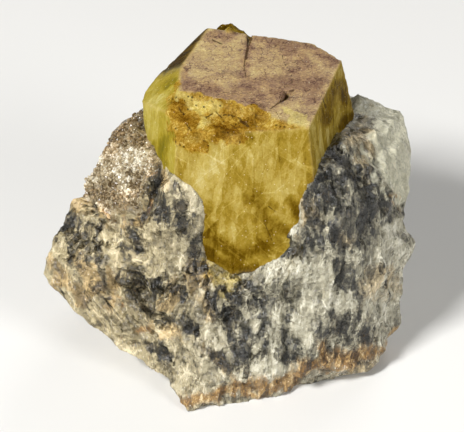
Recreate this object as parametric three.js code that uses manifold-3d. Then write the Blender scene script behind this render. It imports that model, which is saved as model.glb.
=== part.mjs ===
// A rhodizite crystal, blocky and yellow with a flat mauve top, grown in a broken lump of smoky quartz.
// Millimetres, +Z up. X runs left to right across the front and Y runs from the front to the back.
// The origin is on the flat underside that the lump rests on, below its middle.
import * as THREE from "three";
import { ConvexGeometry } from "three/addons/geometries/ConvexGeometry.js";
import { ConvexHull } from "three/addons/math/ConvexHull.js";
import { mergeVertices } from "three/addons/utils/BufferGeometryUtils.js";
import Module from "manifold-3d";

// Driving dimensions of the crystal: a point inside it, then for each face the way it looks and its reach.
const CRYSTAL_MIDDLE = [2.5, 1.5, 22];
const CRYSTAL_FACES = {
  top: { looks: [0, 0, 1], reach: 12 },
  front: { looks: [-0.166, -0.982, 0.087], reach: 10.27 },
  brokenEdge: { looks: [-0.21, -0.408, 0.888], reach: 13.6 },
  right: { looks: [0.952, -0.275, 0.133], reach: 10.21 },
  backRight: { looks: [0.729, 0.619, 0.293], reach: 13.4 },
  back: { looks: [0.281, 0.95, 0.139], reach: 10.95 },
  left: { looks: [-0.925, -0.368, 0.096], reach: 11.97 },
  leftBevel: { looks: [-0.707, 0.005, 0.707], reach: 14.48 },
  backBevel: { looks: [-0.585, 0.208, 0.784], reach: 14.85 },
  leftBack: { looks: [-0.782, 0.534, 0.322], reach: 14.4 },
  leftLow: { looks: [-0.93, 0.25, -0.27], reach: 10.6 },
  backLeftLow: { looks: [-0.62, 0.74, -0.25], reach: 9.2 },
  underFront: { looks: [0.12, -0.6, -0.79], reach: 12.4 },
  underBack: { looks: [0.1, 0.66, -0.74], reach: 9.8 },
  underLeft: { looks: [-0.72, -0.1, -0.69], reach: 11.4 },
  underRight: { looks: [0.74, 0.05, -0.67], reach: 11 },
  under: { looks: [0, 0, -1], reach: 10.6 },
};

// Two small crystals grown into the back of the large one: each is a block turned on its corner.
const BACK_KNOBS = [
  { middle: [-0.5, 12.4, 31.6], size: [3.2, 2.6, 3.6], turned: [0.1, -0.45, 0.2] },
  { middle: [0.1, 12.4, 31.8], size: [3.4, 2.6, 3.6], turned: [-0.1, 0.6, -0.2] },
];

// Damage to the crystal: bites out of its broken front edge, a pit in the top and a notch in its back edge.
const BITES = [
  { middle: [-4.8, -4.4, 36.3], radii: [3.6, 4, 3.8] },
  { middle: [-1.3, -5.7, 36], radii: [3.7, 3.5, 3.8] },
  { middle: [1.9, -6.4, 35.9], radii: [3.2, 2.8, 3.1] },
  { middle: [4.6, -7.9, 35.3], radii: [2, 1.5, 1.7] },
  { middle: [-4.6, -9.2, 31.3], radii: [3.3, 2.7, 2.4] },
  { middle: [-0.6, -9.6, 32.2], radii: [3.2, 2.6, 1.9] },
];
const PIT = {
  outline: [[4.3, -4.7], [5.9, -3.3], [6.4, -2.7], [7.2, -1.1], [5.8, -1], [6, -2], [5.7, -2.8]],
  depth: 1.1,
};
const NOTCH = {
  outline: [
    [1.7, 12.4], [1.6, 10], [1.75, 8.4], [1.4, 5.1], [2, 7.4], [1.95, 8.6], [2.1, 10.2], [2.6, 12.4],
  ],
  depth: 0.7,
};

// Driving dimensions of the lump: a point inside it, and the corners between its broken faces, part by part.
const HEART = [0, 1.5, 9];
const LUMP_CORNERS = {
  foot: [
    [-6, -16, 1], [-4, -17, 0.5], [-2, -16.5, 1], [2.5, -14.7, 1.2], [7.5, -13.1, 2.2], [13.5, -11.8, 1.2],
    [16.2, -10.8, 1.2], [17, -9.8, 1.7],
  ],
  frontHem: [
    [-3, -16.5, 2.5], [-0.5, -16, 3.5], [3.5, -15, 3.5], [7.5, -14, 4], [12, -12.5, 4], [16.1, -10.3, 3.5],
  ],
  leftFoot: [
    [-6.4, -15.1, 1.9], [-7.4, -13.7, 2.3], [-9.5, -12.5, 3], [-13, -10.5, 4.5], [-14.5, -9.5, 6.5],
    [-17, -8.5, 6.5], [-19, -7.5, 8], [-20.5, -6.5, 9.5],
  ],
  leftStrip: [
    [-12.5, -11, 7.5], [-9.5, -12, 5.5], [-7, -14, 4],
  ],
  wingEdge: [
    [-22, -4.9, 11.1], [-20, -6, 13.5], [-17, -7, 14.5], [-14.5, -8, 14.5], [-12.5, -8, 14],
  ],
  wingTop: [
    [-21.5, -3.5, 13], [-20.5, -2, 14.5], [-19.5, -1, 17], [-18.5, 0, 18.5], [-16, -5, 16],
    [-12.5, -6, 16.5], [-16, -3, 18.5], [-12.5, -5, 19],
  ],
  wingFace: [
    [-15.5, -8.5, 10], [-12.5, -10, 9], [-11, -8, 13], [-9.5, -8, 10.5], [-9.5, -10, 8],
  ],
  leftTop: [
    [-17, 0.5, 18.5], [-17, 1, 20], [-15.5, 3, 21], [-14.5, 4, 23], [-14, 5, 24], [-12, 5.5, 26],
    [-10.5, 5, 26.5],
  ],
  sugaryMass: [
    [-12, 2.5, 27], [-14, 2, 24.5], [-11, 1, 26], [-15, -0.5, 22.5], [-13, -2, 25], [-15.5, -2, 20.5],
    [-13, -4, 23.5], [-11, -3.5, 24], [-14.5, -4, 20], [-11.5, -5, 21.5],
  ],
  middleBlock: [
    [-10.5, -6.5, 17.5], [-9.5, -8, 14], [-7, -9, 16], [-8, -10.5, 11], [-5, -11, 12], [-5.5, -9, 19],
  ],
  darkFacet: [
    [-8.5, -4.5, 24], [-9.5, -6.5, 19], [-8, -8.5, 21], [-4, -9, 19.5],
  ],
  paleBand: [
    [-7.5, -7.5, 25.5], [-5.5, -8.6, 23.7], [-4, -8.8, 21], [-4, -9, 15.8],
  ],
  lumpBelow: [
    [-1, -11.5, 13], [2, -11, 13],
  ],
  middle: [
    [-4.5, -12.5, 11], [-3, -14.5, 8], [-1, -16, 4], [-6.5, -13, 7], [-6, -11.5, 9], [-0.5, -12, 10],
    [1, -14, 6.5],
  ],
  flutes: [
    [2.5, -12, 12], [2.5, -14.5, 5], [4, -11.5, 12], [3.5, -14, 5], [5, -12, 14.5], [5, -14.5, 4],
    [6.5, -11.5, 12], [6.5, -13.5, 5], [8, -12, 14], [8, -13.5, 5.5],
  ],
  rightFace: [
    [9, -11, 23.5], [10.5, -10, 27], [13, -6.5, 27.5], [12.5, -10.5, 23.5], [10.5, -12.5, 19],
    [14.5, -10, 19], [11, -13, 12.5], [15.5, -10.5, 11.5], [14, -11.5, 8], [13.5, -8.5, 25.5], [16, -7, 23],
    [18, -6.5, 17.5],
  ],
  rightTop: [
    [13, -1.5, 28.5], [15, -0.5, 27], [16, -3, 25], [18, 3.5, 25.5], [18.5, -1, 22.5],
  ],
  rightEdge: [
    [15.5, 10.5, 26], [18, 10, 25], [20, 9.5, 24.5], [21, 7.5, 23], [21.3, 5, 20.5], [20.8, 2, 18.5],
    [19.9, 0.9, 15.4], [19.7, -0.6, 14.4], [20.8, -1.3, 13.5], [21.3, -1.8, 12.6], [21.2, -2.2, 11.5],
    [20, -3, 10.2], [19.7, -4, 6], [20, -4.5, 3.5], [18, -6.5, 2.5],
  ],
  rimLeft: [
    [-9.7, 1.2, 26.6], [-9, -1, 26.8], [-7.9, -4, 26], [-6.6, -7.1, 26.8], [-3.1, -7.9, 23.7],
    [-3, -8.2, 20.3], [-3, -8.7, 15.4], [-1.2, -9.1, 14.5], [0.9, -9.5, 13.5],
  ],
  rimRight: [
    [2.9, -9.7, 14.7], [4.6, -9.7, 16.9], [6.3, -9.9, 18.6], [7.5, -9.8, 21.9], [7.7, -9.7, 24.1],
    [9.2, -9.6, 27.9], [10.6, -4.8, 28.4], [12.2, 0.8, 27.7], [14.6, 6.6, 25.5],
  ],
  insideCrystal: [
    [-1.2, -6.4, 16.5], [1.5, -7, 14.8], [1, -4.5, 18], [2, -1, 22], [5, -5, 24], [8.5, -3, 26.5],
    [-3, -2.5, 24.5], [3, 5, 23], [8, 6, 24], [-5, 3, 24.5],
  ],
  back: [
    [-14, 9, 21.5], [-8.8, 12.4, 24.5], [-3, 15.4, 26], [3.5, 15, 24], [10, 13.6, 25.5], [16, 12.4, 23],
    [-17.5, 7, 13.5], [-10, 14.2, 15], [0, 17.2, 14], [9, 16.4, 13], [17, 12.4, 12], [19.5, 7.5, 6],
    [-15.5, 9, 5], [-9, 14.6, 3], [0.5, 16.9, 4], [9.5, 16, 3.5],
  ],
  underside: [
    [-12.5, -4.5, 3], [-9, -9, 1], [-13, 4, -1.5], [-9, 12.5, -1.5], [0, 15, -1.5], [9, 14, -1.5],
    [16.5, 9.5, -1.5], [16.5, -3, -1.5], [12, -9.5, -1.2], [7, -11.8, -1.2], [1, -14.6, -1.2],
    [-4.6, -15.8, -1], [-5, -12, -1.2], [0, 0, -2],
  ],
};

// How finely the lump is faceted, and the waves that roughen it: the longest, and how each next one shrinks.
const LUMP_DETAIL = 21;
const WAVES = { count: 8, longest: 13, shrink: 0.8, height: 0.012, turn: 2.4 };

// Room left between the crystal and its pocket.
const SEAT_GAP = 0.3;

const vector = (xyz) => new THREE.Vector3(...xyz);

// three.js geometry to a solid that can be joined and cut, and back.
const wasm = await Module();
wasm.setup();

function solidOf(geometry) {
  const bare = new THREE.BufferGeometry().setAttribute("position", geometry.getAttribute("position"));
  if (geometry.index) bare.setIndex(geometry.index);
  const merged = mergeVertices(bare, 1e-4);
  return new wasm.Manifold(
    new wasm.Mesh({
      numProp: 3,
      vertProperties: new Float32Array(merged.attributes.position.array),
      triVerts: new Uint32Array(merged.index.array),
    }),
  );
}

function geometryOf(solid) {
  const { numProp, numVert, vertProperties, triVerts } = solid.getMesh();
  const positions = new Float32Array(numVert * 3);
  for (let i = 0; i < numVert; i++) {
    positions.set(vertProperties.subarray(i * numProp, i * numProp + 3), i * 3);
  }
  const geometry = new THREE.BufferGeometry();
  geometry.setAttribute("position", new THREE.BufferAttribute(positions, 3));
  geometry.setIndex(new THREE.BufferAttribute(new Uint32Array(triVerts), 1));
  geometry.computeVertexNormals();
  return geometry;
}

// The point where three planes meet, or nothing if two of them run almost alongside each other.
function meetingOf(a, b, c) {
  const across = b.normal.clone().cross(c.normal);
  const spread = a.normal.dot(across);
  if (Math.abs(spread) < 1e-3) return null;
  return across
    .multiplyScalar(a.offset)
    .addScaledVector(c.normal.clone().cross(a.normal), b.offset)
    .addScaledVector(a.normal.clone().cross(b.normal), c.offset)
    .divideScalar(spread);
}

// The large crystal, grown by a margin: its corners are where three faces meet inside all the others.
function blockSolid(margin = 0) {
  const planes = Object.values(CRYSTAL_FACES).map(({ looks, reach }) => {
    const normal = vector(looks).normalize();
    return { normal, offset: normal.dot(vector(CRYSTAL_MIDDLE)) + reach + margin };
  });
  const corners = [];
  for (let i = 0; i < planes.length; i++) {
    for (let j = i + 1; j < planes.length; j++) {
      for (let k = j + 1; k < planes.length; k++) {
        const corner = meetingOf(planes[i], planes[j], planes[k]);
        const kept = corner && planes.every(({ normal, offset }) => normal.dot(corner) < offset + 1e-5);
        if (kept) corners.push(corner);
      }
    }
  }
  return solidOf(new ConvexGeometry(corners));
}

function knob({ middle, size, turned }) {
  const block = new THREE.BoxGeometry(...size);
  block.applyMatrix4(new THREE.Matrix4().makeRotationFromEuler(new THREE.Euler(...turned)));
  return solidOf(block.translate(...middle));
}

function bite({ middle, radii }) {
  return solidOf(new THREE.IcosahedronGeometry(1, 1).scale(...radii).translate(...middle));
}

// A straight-sided cut of the given outline into the crystal's top.
function cutFromTop({ outline, depth }) {
  const top = CRYSTAL_MIDDLE[2] + CRYSTAL_FACES.top.reach;
  const shape = new THREE.Shape(outline.map(([x, y]) => new THREE.Vector2(x, y)));
  const cut = new THREE.ExtrudeGeometry(shape, { depth: depth + 4, bevelEnabled: false });
  return solidOf(cut.translate(0, 0, top - depth));
}

function crystalSolid() {
  let crystal = blockSolid();
  for (const each of BACK_KNOBS) crystal = crystal.add(knob(each));
  for (const each of BITES) crystal = crystal.subtract(bite(each));
  return crystal.subtract(cutFromTop(PIT)).subtract(cutFromTop(NOTCH));
}

// The lump's broken faces: seen from the heart, triangles between the corners cover every way out.
function brokenFaces() {
  const corners = Object.values(LUMP_CORNERS)
    .flat()
    .map((corner) => vector(corner).sub(vector(HEART)));
  const ways = corners.map((corner) => corner.clone().normalize());
  return new ConvexHull().setFromPoints(ways).faces.map(({ edge }) => {
    const [a, b, c] = [edge, edge.next, edge.prev].map((each) => corners[ways.indexOf(each.head().point)]);
    const normal = b.clone().sub(a).cross(c.clone().sub(a));
    const sides = [a.clone().cross(b), b.clone().cross(c), c.clone().cross(a)];
    return { normal, offset: normal.dot(a), sides };
  });
}

// Gentle roughness: waves that run in directions spread round a ball, each shorter and lower than the last.
function roughness(point) {
  let sum = 0;
  for (let i = 0; i < WAVES.count; i++) {
    const length = WAVES.longest * WAVES.shrink ** i;
    const rise = 1 - (2 * i + 1) / WAVES.count;
    const flat = Math.sqrt(1 - rise * rise);
    const run = vector([flat * Math.cos(i * WAVES.turn), flat * Math.sin(i * WAVES.turn), rise]).dot(point);
    sum += WAVES.height * length * Math.sin((2 * Math.PI * run) / length + i * WAVES.turn);
  }
  return sum;
}

// The lump: each way out of the heart meets one broken face, and the roughness is added to that distance.
function lumpSolid() {
  const faces = brokenFaces();
  const sphere = new THREE.IcosahedronGeometry(1, LUMP_DETAIL);
  const places = sphere.getAttribute("position");
  for (let i = 0; i < places.count; i++) {
    const way = new THREE.Vector3().fromBufferAttribute(places, i).normalize();
    const face = faces.find(({ sides }) => sides.every((side) => side.dot(way) > -1e-5));
    const reach = face.offset / face.normal.dot(way);
    const place = way.clone().multiplyScalar(reach + roughness(way.clone().multiplyScalar(reach)));
    places.setXYZ(i, ...place.add(vector(HEART)));
  }
  const below = new THREE.BoxGeometry(80, 80, 20).translate(0, 0, -10);
  return solidOf(sphere).subtract(solidOf(below));
}

// The largest body of a cut, without the crumbs that the cut leaves.
function largest(solid) {
  return solid.decompose().sort((a, b) => b.volume() - a.volume())[0];
}

function meshOf(name, solid, material) {
  const mesh = new THREE.Mesh(geometryOf(solid), new THREE.MeshStandardMaterial(material));
  mesh.name = name;
  return mesh;
}

const crystal = crystalSolid();
const matrix = largest(lumpSolid().subtract(blockSolid(SEAT_GAP)));

const specimen = new THREE.Group();
specimen.add(meshOf("rhodizite_crystal", crystal, { color: 0xb89f3e, roughness: 0.3, metalness: 0 }));
specimen.add(meshOf("quartz_matrix", matrix, { color: 0x8d8a80, roughness: 0.5, metalness: 0 }));

export default specimen;
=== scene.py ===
# %% [markdown]
# # A rhodizite crystal in its smoky quartz
#
# The specimen is one blocky yellow crystal with a flat mauve top, grown in a broken lump of smoky quartz.
# The solid model gives the true size, place and main forms of both. Here each gets its real skin: thousands
# of small breaks, sugary grains, iron stain, crackle and the cloudy colour inside. Places and sizes are in
# millimetres, as on the solid model, and are turned into metres only when a mesh or a material is made.

# %% Loading the solid model and its box
import math

import bmesh
import bpy
import numpy as np
from mathutils import Matrix, Vector


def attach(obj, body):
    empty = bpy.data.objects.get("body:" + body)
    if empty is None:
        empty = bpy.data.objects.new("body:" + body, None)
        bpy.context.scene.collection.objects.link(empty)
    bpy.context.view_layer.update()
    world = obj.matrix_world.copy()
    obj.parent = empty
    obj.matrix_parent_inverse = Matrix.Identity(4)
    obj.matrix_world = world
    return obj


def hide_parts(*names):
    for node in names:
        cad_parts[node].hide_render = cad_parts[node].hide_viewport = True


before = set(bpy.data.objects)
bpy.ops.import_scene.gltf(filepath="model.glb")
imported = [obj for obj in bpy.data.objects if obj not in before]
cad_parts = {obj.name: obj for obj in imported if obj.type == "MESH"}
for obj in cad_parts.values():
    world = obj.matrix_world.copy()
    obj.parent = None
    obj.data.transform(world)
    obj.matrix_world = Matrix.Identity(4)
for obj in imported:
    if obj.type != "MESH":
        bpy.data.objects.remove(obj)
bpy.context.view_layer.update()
MM = 0.001

# %% [markdown]
# ## The view from the front
#
# The specimen is looked at from the front and 35 degrees above, from 300 mm away. Much of what follows is
# placed by where it is seen from there, in a picture 464 wide and 432 high, so the view comes first.

# %% Where places are seen
TILT = math.radians(35)
FRONT = np.array([0.0, -math.cos(TILT), math.sin(TILT)])
UPWARDS = np.array([0.0, math.sin(TILT), math.cos(TILT)])
LOOKED_AT = np.array([0, 1.2, 15.0])
CAMERA_DISTANCE = 300.0
SEEN_WIDTH = 55.0
PICTURE_WIDTH, PICTURE_HEIGHT = 464, 432


def seen_at(places):
    """Where places in mm are seen in the picture: steps to the right and downwards, larger when nearer."""
    away = places - LOOKED_AT
    scale = PICTURE_WIDTH / SEEN_WIDTH * CAMERA_DISTANCE / (CAMERA_DISTANCE - away @ FRONT)
    right = PICTURE_WIDTH / 2 + away[:, 0] * scale
    down = PICTURE_HEIGHT / 2 - away @ UPWARDS * scale
    return np.stack([right, down], axis=1)


print("the middle of the floor is seen at", seen_at(np.zeros((1, 3))).round(1))

# %% [markdown]
# ## A grid wrapped round a point
#
# Both the lump and the crystal can be seen whole from a point inside them: every way out from that point
# meets the skin once. So one number, how far out the skin is, given for every direction, describes each of
# them. The directions could be those of a globe with its poles, but a globe crowds its faces at the poles.
# A cube blown up into a ball has no poles: each of its six sides is a square grid of two parameters, and
# the sides share their edges. Sliding all directions towards the front packs the grid finer where the
# specimen shows its best side.

# %% Directions on the six sides of a blown-up cube
def unit(ways):
    """Ways of length one: each is divided by the root of the sum of its squares."""
    return ways / np.linalg.norm(ways, axis=-1, keepdims=True)


def ball_grid(steps, shift):
    """Unit directions and the four-cornered faces between them. On each side of the cube the two parameters
    a and b run from -45 to 45 degrees, the point is (1, tan a, tan b), and it is pulled onto the ball. Then
    the shift is added to every way, which crowds them towards it, and corners that sides share are kept
    once."""
    slope = np.tan(np.linspace(-math.pi / 4, math.pi / 4, steps + 1))
    a, b = np.meshgrid(slope, slope, indexing="ij")
    one = np.ones_like(a)
    sides = [(one, a, b), (-one, b, a), (b, one, a), (a, -one, b), (a, b, one), (b, a, -one)]
    ways = np.concatenate([np.stack(side, axis=-1).reshape(-1, 3) for side in sides])
    spot = np.arange((steps + 1) ** 2).reshape(steps + 1, steps + 1)
    square = np.stack([spot[:-1, :-1], spot[1:, :-1], spot[1:, 1:], spot[:-1, 1:]], axis=-1).reshape(-1, 4)
    faces = np.concatenate([square + side * spot.size for side in range(len(sides))])
    _, kept, shared = np.unique(np.round(unit(ways), 6), axis=0, return_index=True, return_inverse=True)
    return unit(unit(ways[kept]) + shift), shared.reshape(-1)[faces]


print("directions in a grid of 4 steps:", len(ball_grid(4, 0.3 * FRONT)[0]))

# %% [markdown]
# ## Roughness that is the same every time
#
# A broken mineral is rough at every scale. Two patterns give that. The first is smooth noise, for swells
# and for crumbling the borders of stains. The second is made of scattered seeds: round each seed the
# surface is a shallow scoop or a tilted flat, and where two meet there is a sharp ridge, as where glassy
# quartz has chipped. Both read their random numbers from fixed tables, so the specimen never changes from
# one run to the next.

# %% Smooth noise
TABLE_SIZE = 256
TO_FULL_HEIGHT = 1.6
CUBE_CORNERS = [(x, y, z) for x in (0, 1) for y in (0, 1) for z in (0, 1)]


def pick(cells, order):
    """One table place for each whole-numbered cell: the three numbers are looked up one after another."""
    first = order[cells[:, 0] % TABLE_SIZE]
    second = order[(first + cells[:, 1]) % TABLE_SIZE]
    return order[(second + cells[:, 2]) % TABLE_SIZE]


def swell(places, size, seed):
    """Smooth noise between about -1 and 1, with bumps `size` apart: every corner of a cubic lattice holds a
    random slope, and the eight slopes round a place are blended with a weight that eases from 0 to 1."""
    random = np.random.default_rng(seed)
    order = random.permutation(TABLE_SIZE)
    slopes = unit(random.normal(size=(TABLE_SIZE, 3)))
    cells = np.floor(places / size).astype(int)
    part = places / size - cells
    ease = part**3 * (part * (part * 6 - 15) + 10)
    height = np.zeros(len(places))
    for corner in CUBE_CORNERS:
        slope = slopes[pick(cells + corner, order)]
        weight = np.prod(np.where(corner, ease, 1 - ease), axis=1)
        height += weight * (slope * (part - corner)).sum(axis=1)
    return height * TO_FULL_HEIGHT


def swells(places, size, seed, layers):
    """Smooth noise on smooth noise: each layer has half the size and half the height of the one before."""
    return sum(swell(places, size / 2**layer, seed + layer) / 2**layer for layer in range(layers))


print("smooth noise at three places:", swells(np.eye(3), 0.7, 1, 3).round(2))

# %% Chipped noise, and easing
NEIGHBOURS = [(x, y, z) for x in (-1, 0, 1) for y in (-1, 0, 1) for z in (-1, 0, 1)]
MEAN_SCOOP, MEAN_TILT_FALL = 0.3, 0.235


def drawn_out(places, along, stretch):
    """Places squeezed along a direction, so that a pattern read there comes out longer that way."""
    along = unit(np.array(along, float))
    return places - (1 - 1 / stretch) * (places @ along)[:, None] * along


def chips(places, size, seed, tilt):
    """Chipped flats and scoops `size` across: among the seeds round a place the lowest value of squared
    distance, plus a random tilt times the offset from the seed, wins. The lowest of many is one sheet with
    sharp ridges, and its mean, which falls with the square of the tilt, is taken off. With the height come
    two things that are the same for a whole flat: the winning seed's random number, and the step that leads
    from a place to that seed."""
    random = np.random.default_rng(seed)
    order = random.permutation(TABLE_SIZE)
    shift = random.random((TABLE_SIZE, 3))
    lean = unit(random.normal(size=(TABLE_SIZE, 3))) * tilt
    own = random.random(TABLE_SIZE)
    scaled = places / size
    cells = np.floor(scaled).astype(int)
    lowest, flat = np.full(len(places), np.inf), np.zeros(len(places))
    to_seed = np.zeros((len(places), 3))
    for step in NEIGHBOURS:
        chosen = pick(cells + step, order)
        away = scaled - (cells + step) - shift[chosen]
        height = (away * away).sum(axis=1) + (lean[chosen] * away).sum(axis=1)
        lower = height < lowest
        lowest, flat = np.where(lower, height, lowest), np.where(lower, own[chosen], flat)
        to_seed[lower] = -away[lower] * size
    return lowest - MEAN_SCOOP + MEAN_TILT_FALL * tilt * tilt, flat, to_seed


def eased(value, low, high):
    """0 below low, 1 above high, and a smooth step between; low may be the larger, which turns it round."""
    part = np.clip((value - low) / (high - low), 0, 1)
    return part * part * (3 - 2 * part)


print("chipped noise at three places:", chips(np.eye(3), 0.7, 1, 1.0)[0].round(2))

# %% [markdown]
# ## Marks on the skin
#
# Stains, veils and cracks sit at particular places on this specimen. Each mark is a half width and one or
# more points joined into a line, all written as they are seen from the front. The strength of a mark falls
# off with distance from its line, and smooth noise on the skin is added to that distance, so that no mark
# ends in a clean edge. Places that face away from the front are left out, or a mark would come through on
# the far side.

# %% How close each place is to a set of marks
NOISE_TO_WIDTH = 1.6
FRAY_STRETCH = 3


def near(places, facing, marks, seed, ragged=0.8, fade=2.0, frayed=None):
    """From 0 to 1: for every piece of line, the nearest point on it is found, the distance is divided by
    the mark's width, roughened by noise a little wider than the mark, and eased from 1 on the line to 0 at
    `fade` widths. The noise can be drawn out along a direction, which frays the mark into streaks."""
    strongest = np.zeros(len(places))
    seen = seen_at(places)
    for number, (width, *points) in enumerate(marks):
        line = np.array(points, float)
        reach = (fade + ragged) * width
        inside = np.all((seen > line.min(axis=0) - reach) & (seen < line.max(axis=0) + reach), axis=1)
        inside &= facing > 0
        spots = seen[inside]
        nearest = np.full(len(spots), np.inf)
        for start, end in zip(line, line[1:] if len(line) > 1 else line):
            along = end - start
            share = np.clip((spots - start) @ along / max(along @ along, 1e-9), 0, 1)[:, None]
            nearest = np.minimum(nearest, np.linalg.norm(spots - start - share * along, axis=1))
        noise_size = NOISE_TO_WIDTH * width * SEEN_WIDTH / PICTURE_WIDTH
        read_at = places[inside] if frayed is None else drawn_out(places[inside], frayed, FRAY_STRETCH)
        rough = ragged * swells(read_at, noise_size, seed + number, 4)
        strength = eased(nearest / width + rough, fade, 0.0) * facing[inside]
        strongest[inside] = np.maximum(strongest[inside], strength)
    return strongest


print("a mark where it lies:", near(LOOKED_AT[None], np.ones(1), [(9, (232, 216))], seed=1).round(2))

# %% [markdown]
# ## The crystal
#
# The crystal is one block with flat growth faces. A solid like that is the space inside a set of planes, so
# its skin in any direction is the nearest plane. Taking the plain nearest would leave edges like a knife's,
# and a real edge is a little worn, so the nearest is found with a soft minimum that rounds each edge by
# about a tenth of a millimetre. The broken front edge is bitten out by ellipsoids, the pit and the notch
# are let into the top, and the two small crystals behind are turned boxes that are joined on where they
# reach further out than the block.

# %% The crystal's planes, bites and knobs
CRYSTAL_MIDDLE = np.array([2.5, 1.5, 22.0])
# Each face: the direction it looks in, and how far it lies from the middle.
CRYSTAL_FACES = {
    "top": ((0, 0, 1), 12),
    "front": ((-0.166, -0.982, 0.087), 10.27),
    "brokenEdge": ((-0.21, -0.408, 0.888), 13.6),
    "right": ((0.952, -0.275, 0.133), 10.21),
    "backRight": ((0.729, 0.619, 0.293), 13.4),
    "back": ((0.281, 0.95, 0.139), 10.95),
    "left": ((-0.925, -0.368, 0.096), 11.97),
    "leftBevel": ((-0.707, 0.005, 0.707), 14.48),
    "backBevel": ((-0.585, 0.208, 0.784), 14.85),
    "leftBack": ((-0.782, 0.534, 0.322), 14.4),
    "leftLow": ((-0.93, 0.25, -0.27), 10.6),
    "backLeftLow": ((-0.62, 0.74, -0.25), 9.2),
    "underFront": ((0.12, -0.6, -0.79), 12.4),
    "underBack": ((0.1, 0.66, -0.74), 9.8),
    "underLeft": ((-0.72, -0.1, -0.69), 11.4),
    "underRight": ((0.74, 0.05, -0.67), 11),
    "under": ((0, 0, -1), 10.6),
}
# Each bite: its middle and its half widths. Each knob: its middle, its size and its turns about X, Y and Z.
BITES = [
    ((-4.8, -4.4, 36.3), (3.6, 4, 3.8)), ((-1.3, -5.7, 36), (3.7, 3.5, 3.8)),
    ((1.9, -6.4, 35.9), (3.2, 2.8, 3.1)), ((4.6, -7.9, 35.3), (2, 1.5, 1.7)),
    ((-4.6, -9.2, 31.3), (3.3, 2.7, 2.4)), ((-0.6, -9.6, 32.2), (3.2, 2.6, 1.9)),
]
BACK_KNOBS = [
    ((-0.5, 12.4, 31.6), (3.2, 2.6, 3.6), (0.1, -0.45, 0.2)),
    ((0.1, 12.4, 31.8), (3.4, 2.6, 3.6), (-0.1, 0.6, -0.2)),
]
# The pit and the notch: the outline on the top, and the depth.
PIT = ([(4.3, -4.7), (5.9, -3.3), (6.4, -2.7), (7.2, -1.1), (5.8, -1), (6, -2), (5.7, -2.8)], 1.1)
NOTCH = (
    [(1.7, 12.4), (1.6, 10), (1.75, 8.4), (1.4, 5.1), (2, 7.4), (1.95, 8.6), (2.1, 10.2), (2.6, 12.4)], 0.7,
)
EDGE_SOFTNESS = 0.05
BLEND_SOFTNESS = 0.08
FACE_NAMES = list(CRYSTAL_FACES)
looks = unit(np.array([look for look, _ in CRYSTAL_FACES.values()], float))
reaches = np.array([reach for _, reach in CRYSTAL_FACES.values()])
print(len(CRYSTAL_FACES), "faces,", len(BITES), "bites,", len(BACK_KNOBS), "knobs")


def outside_crystal(places):
    """How far a place is outside the block: the largest of its distances beyond the planes, negative
    inside."""
    return ((places - CRYSTAL_MIDDLE) @ looks.T - reaches).max(axis=1)


# %% [markdown]
# ## The lump of smoky quartz
#
# The lump is a broken piece of vein quartz: flat breaks meet at edges, glassy scoops run down its front,
# and its left side is a mass of sugary little crystals. Its main edges are the same corners that the solid
# model is built on. Joined into triangles round a point in the middle of the lump, they give the distance
# to the skin in any direction. Each group of corners also says what its part of the skin is made of, and
# the same triangles blend that.

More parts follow.
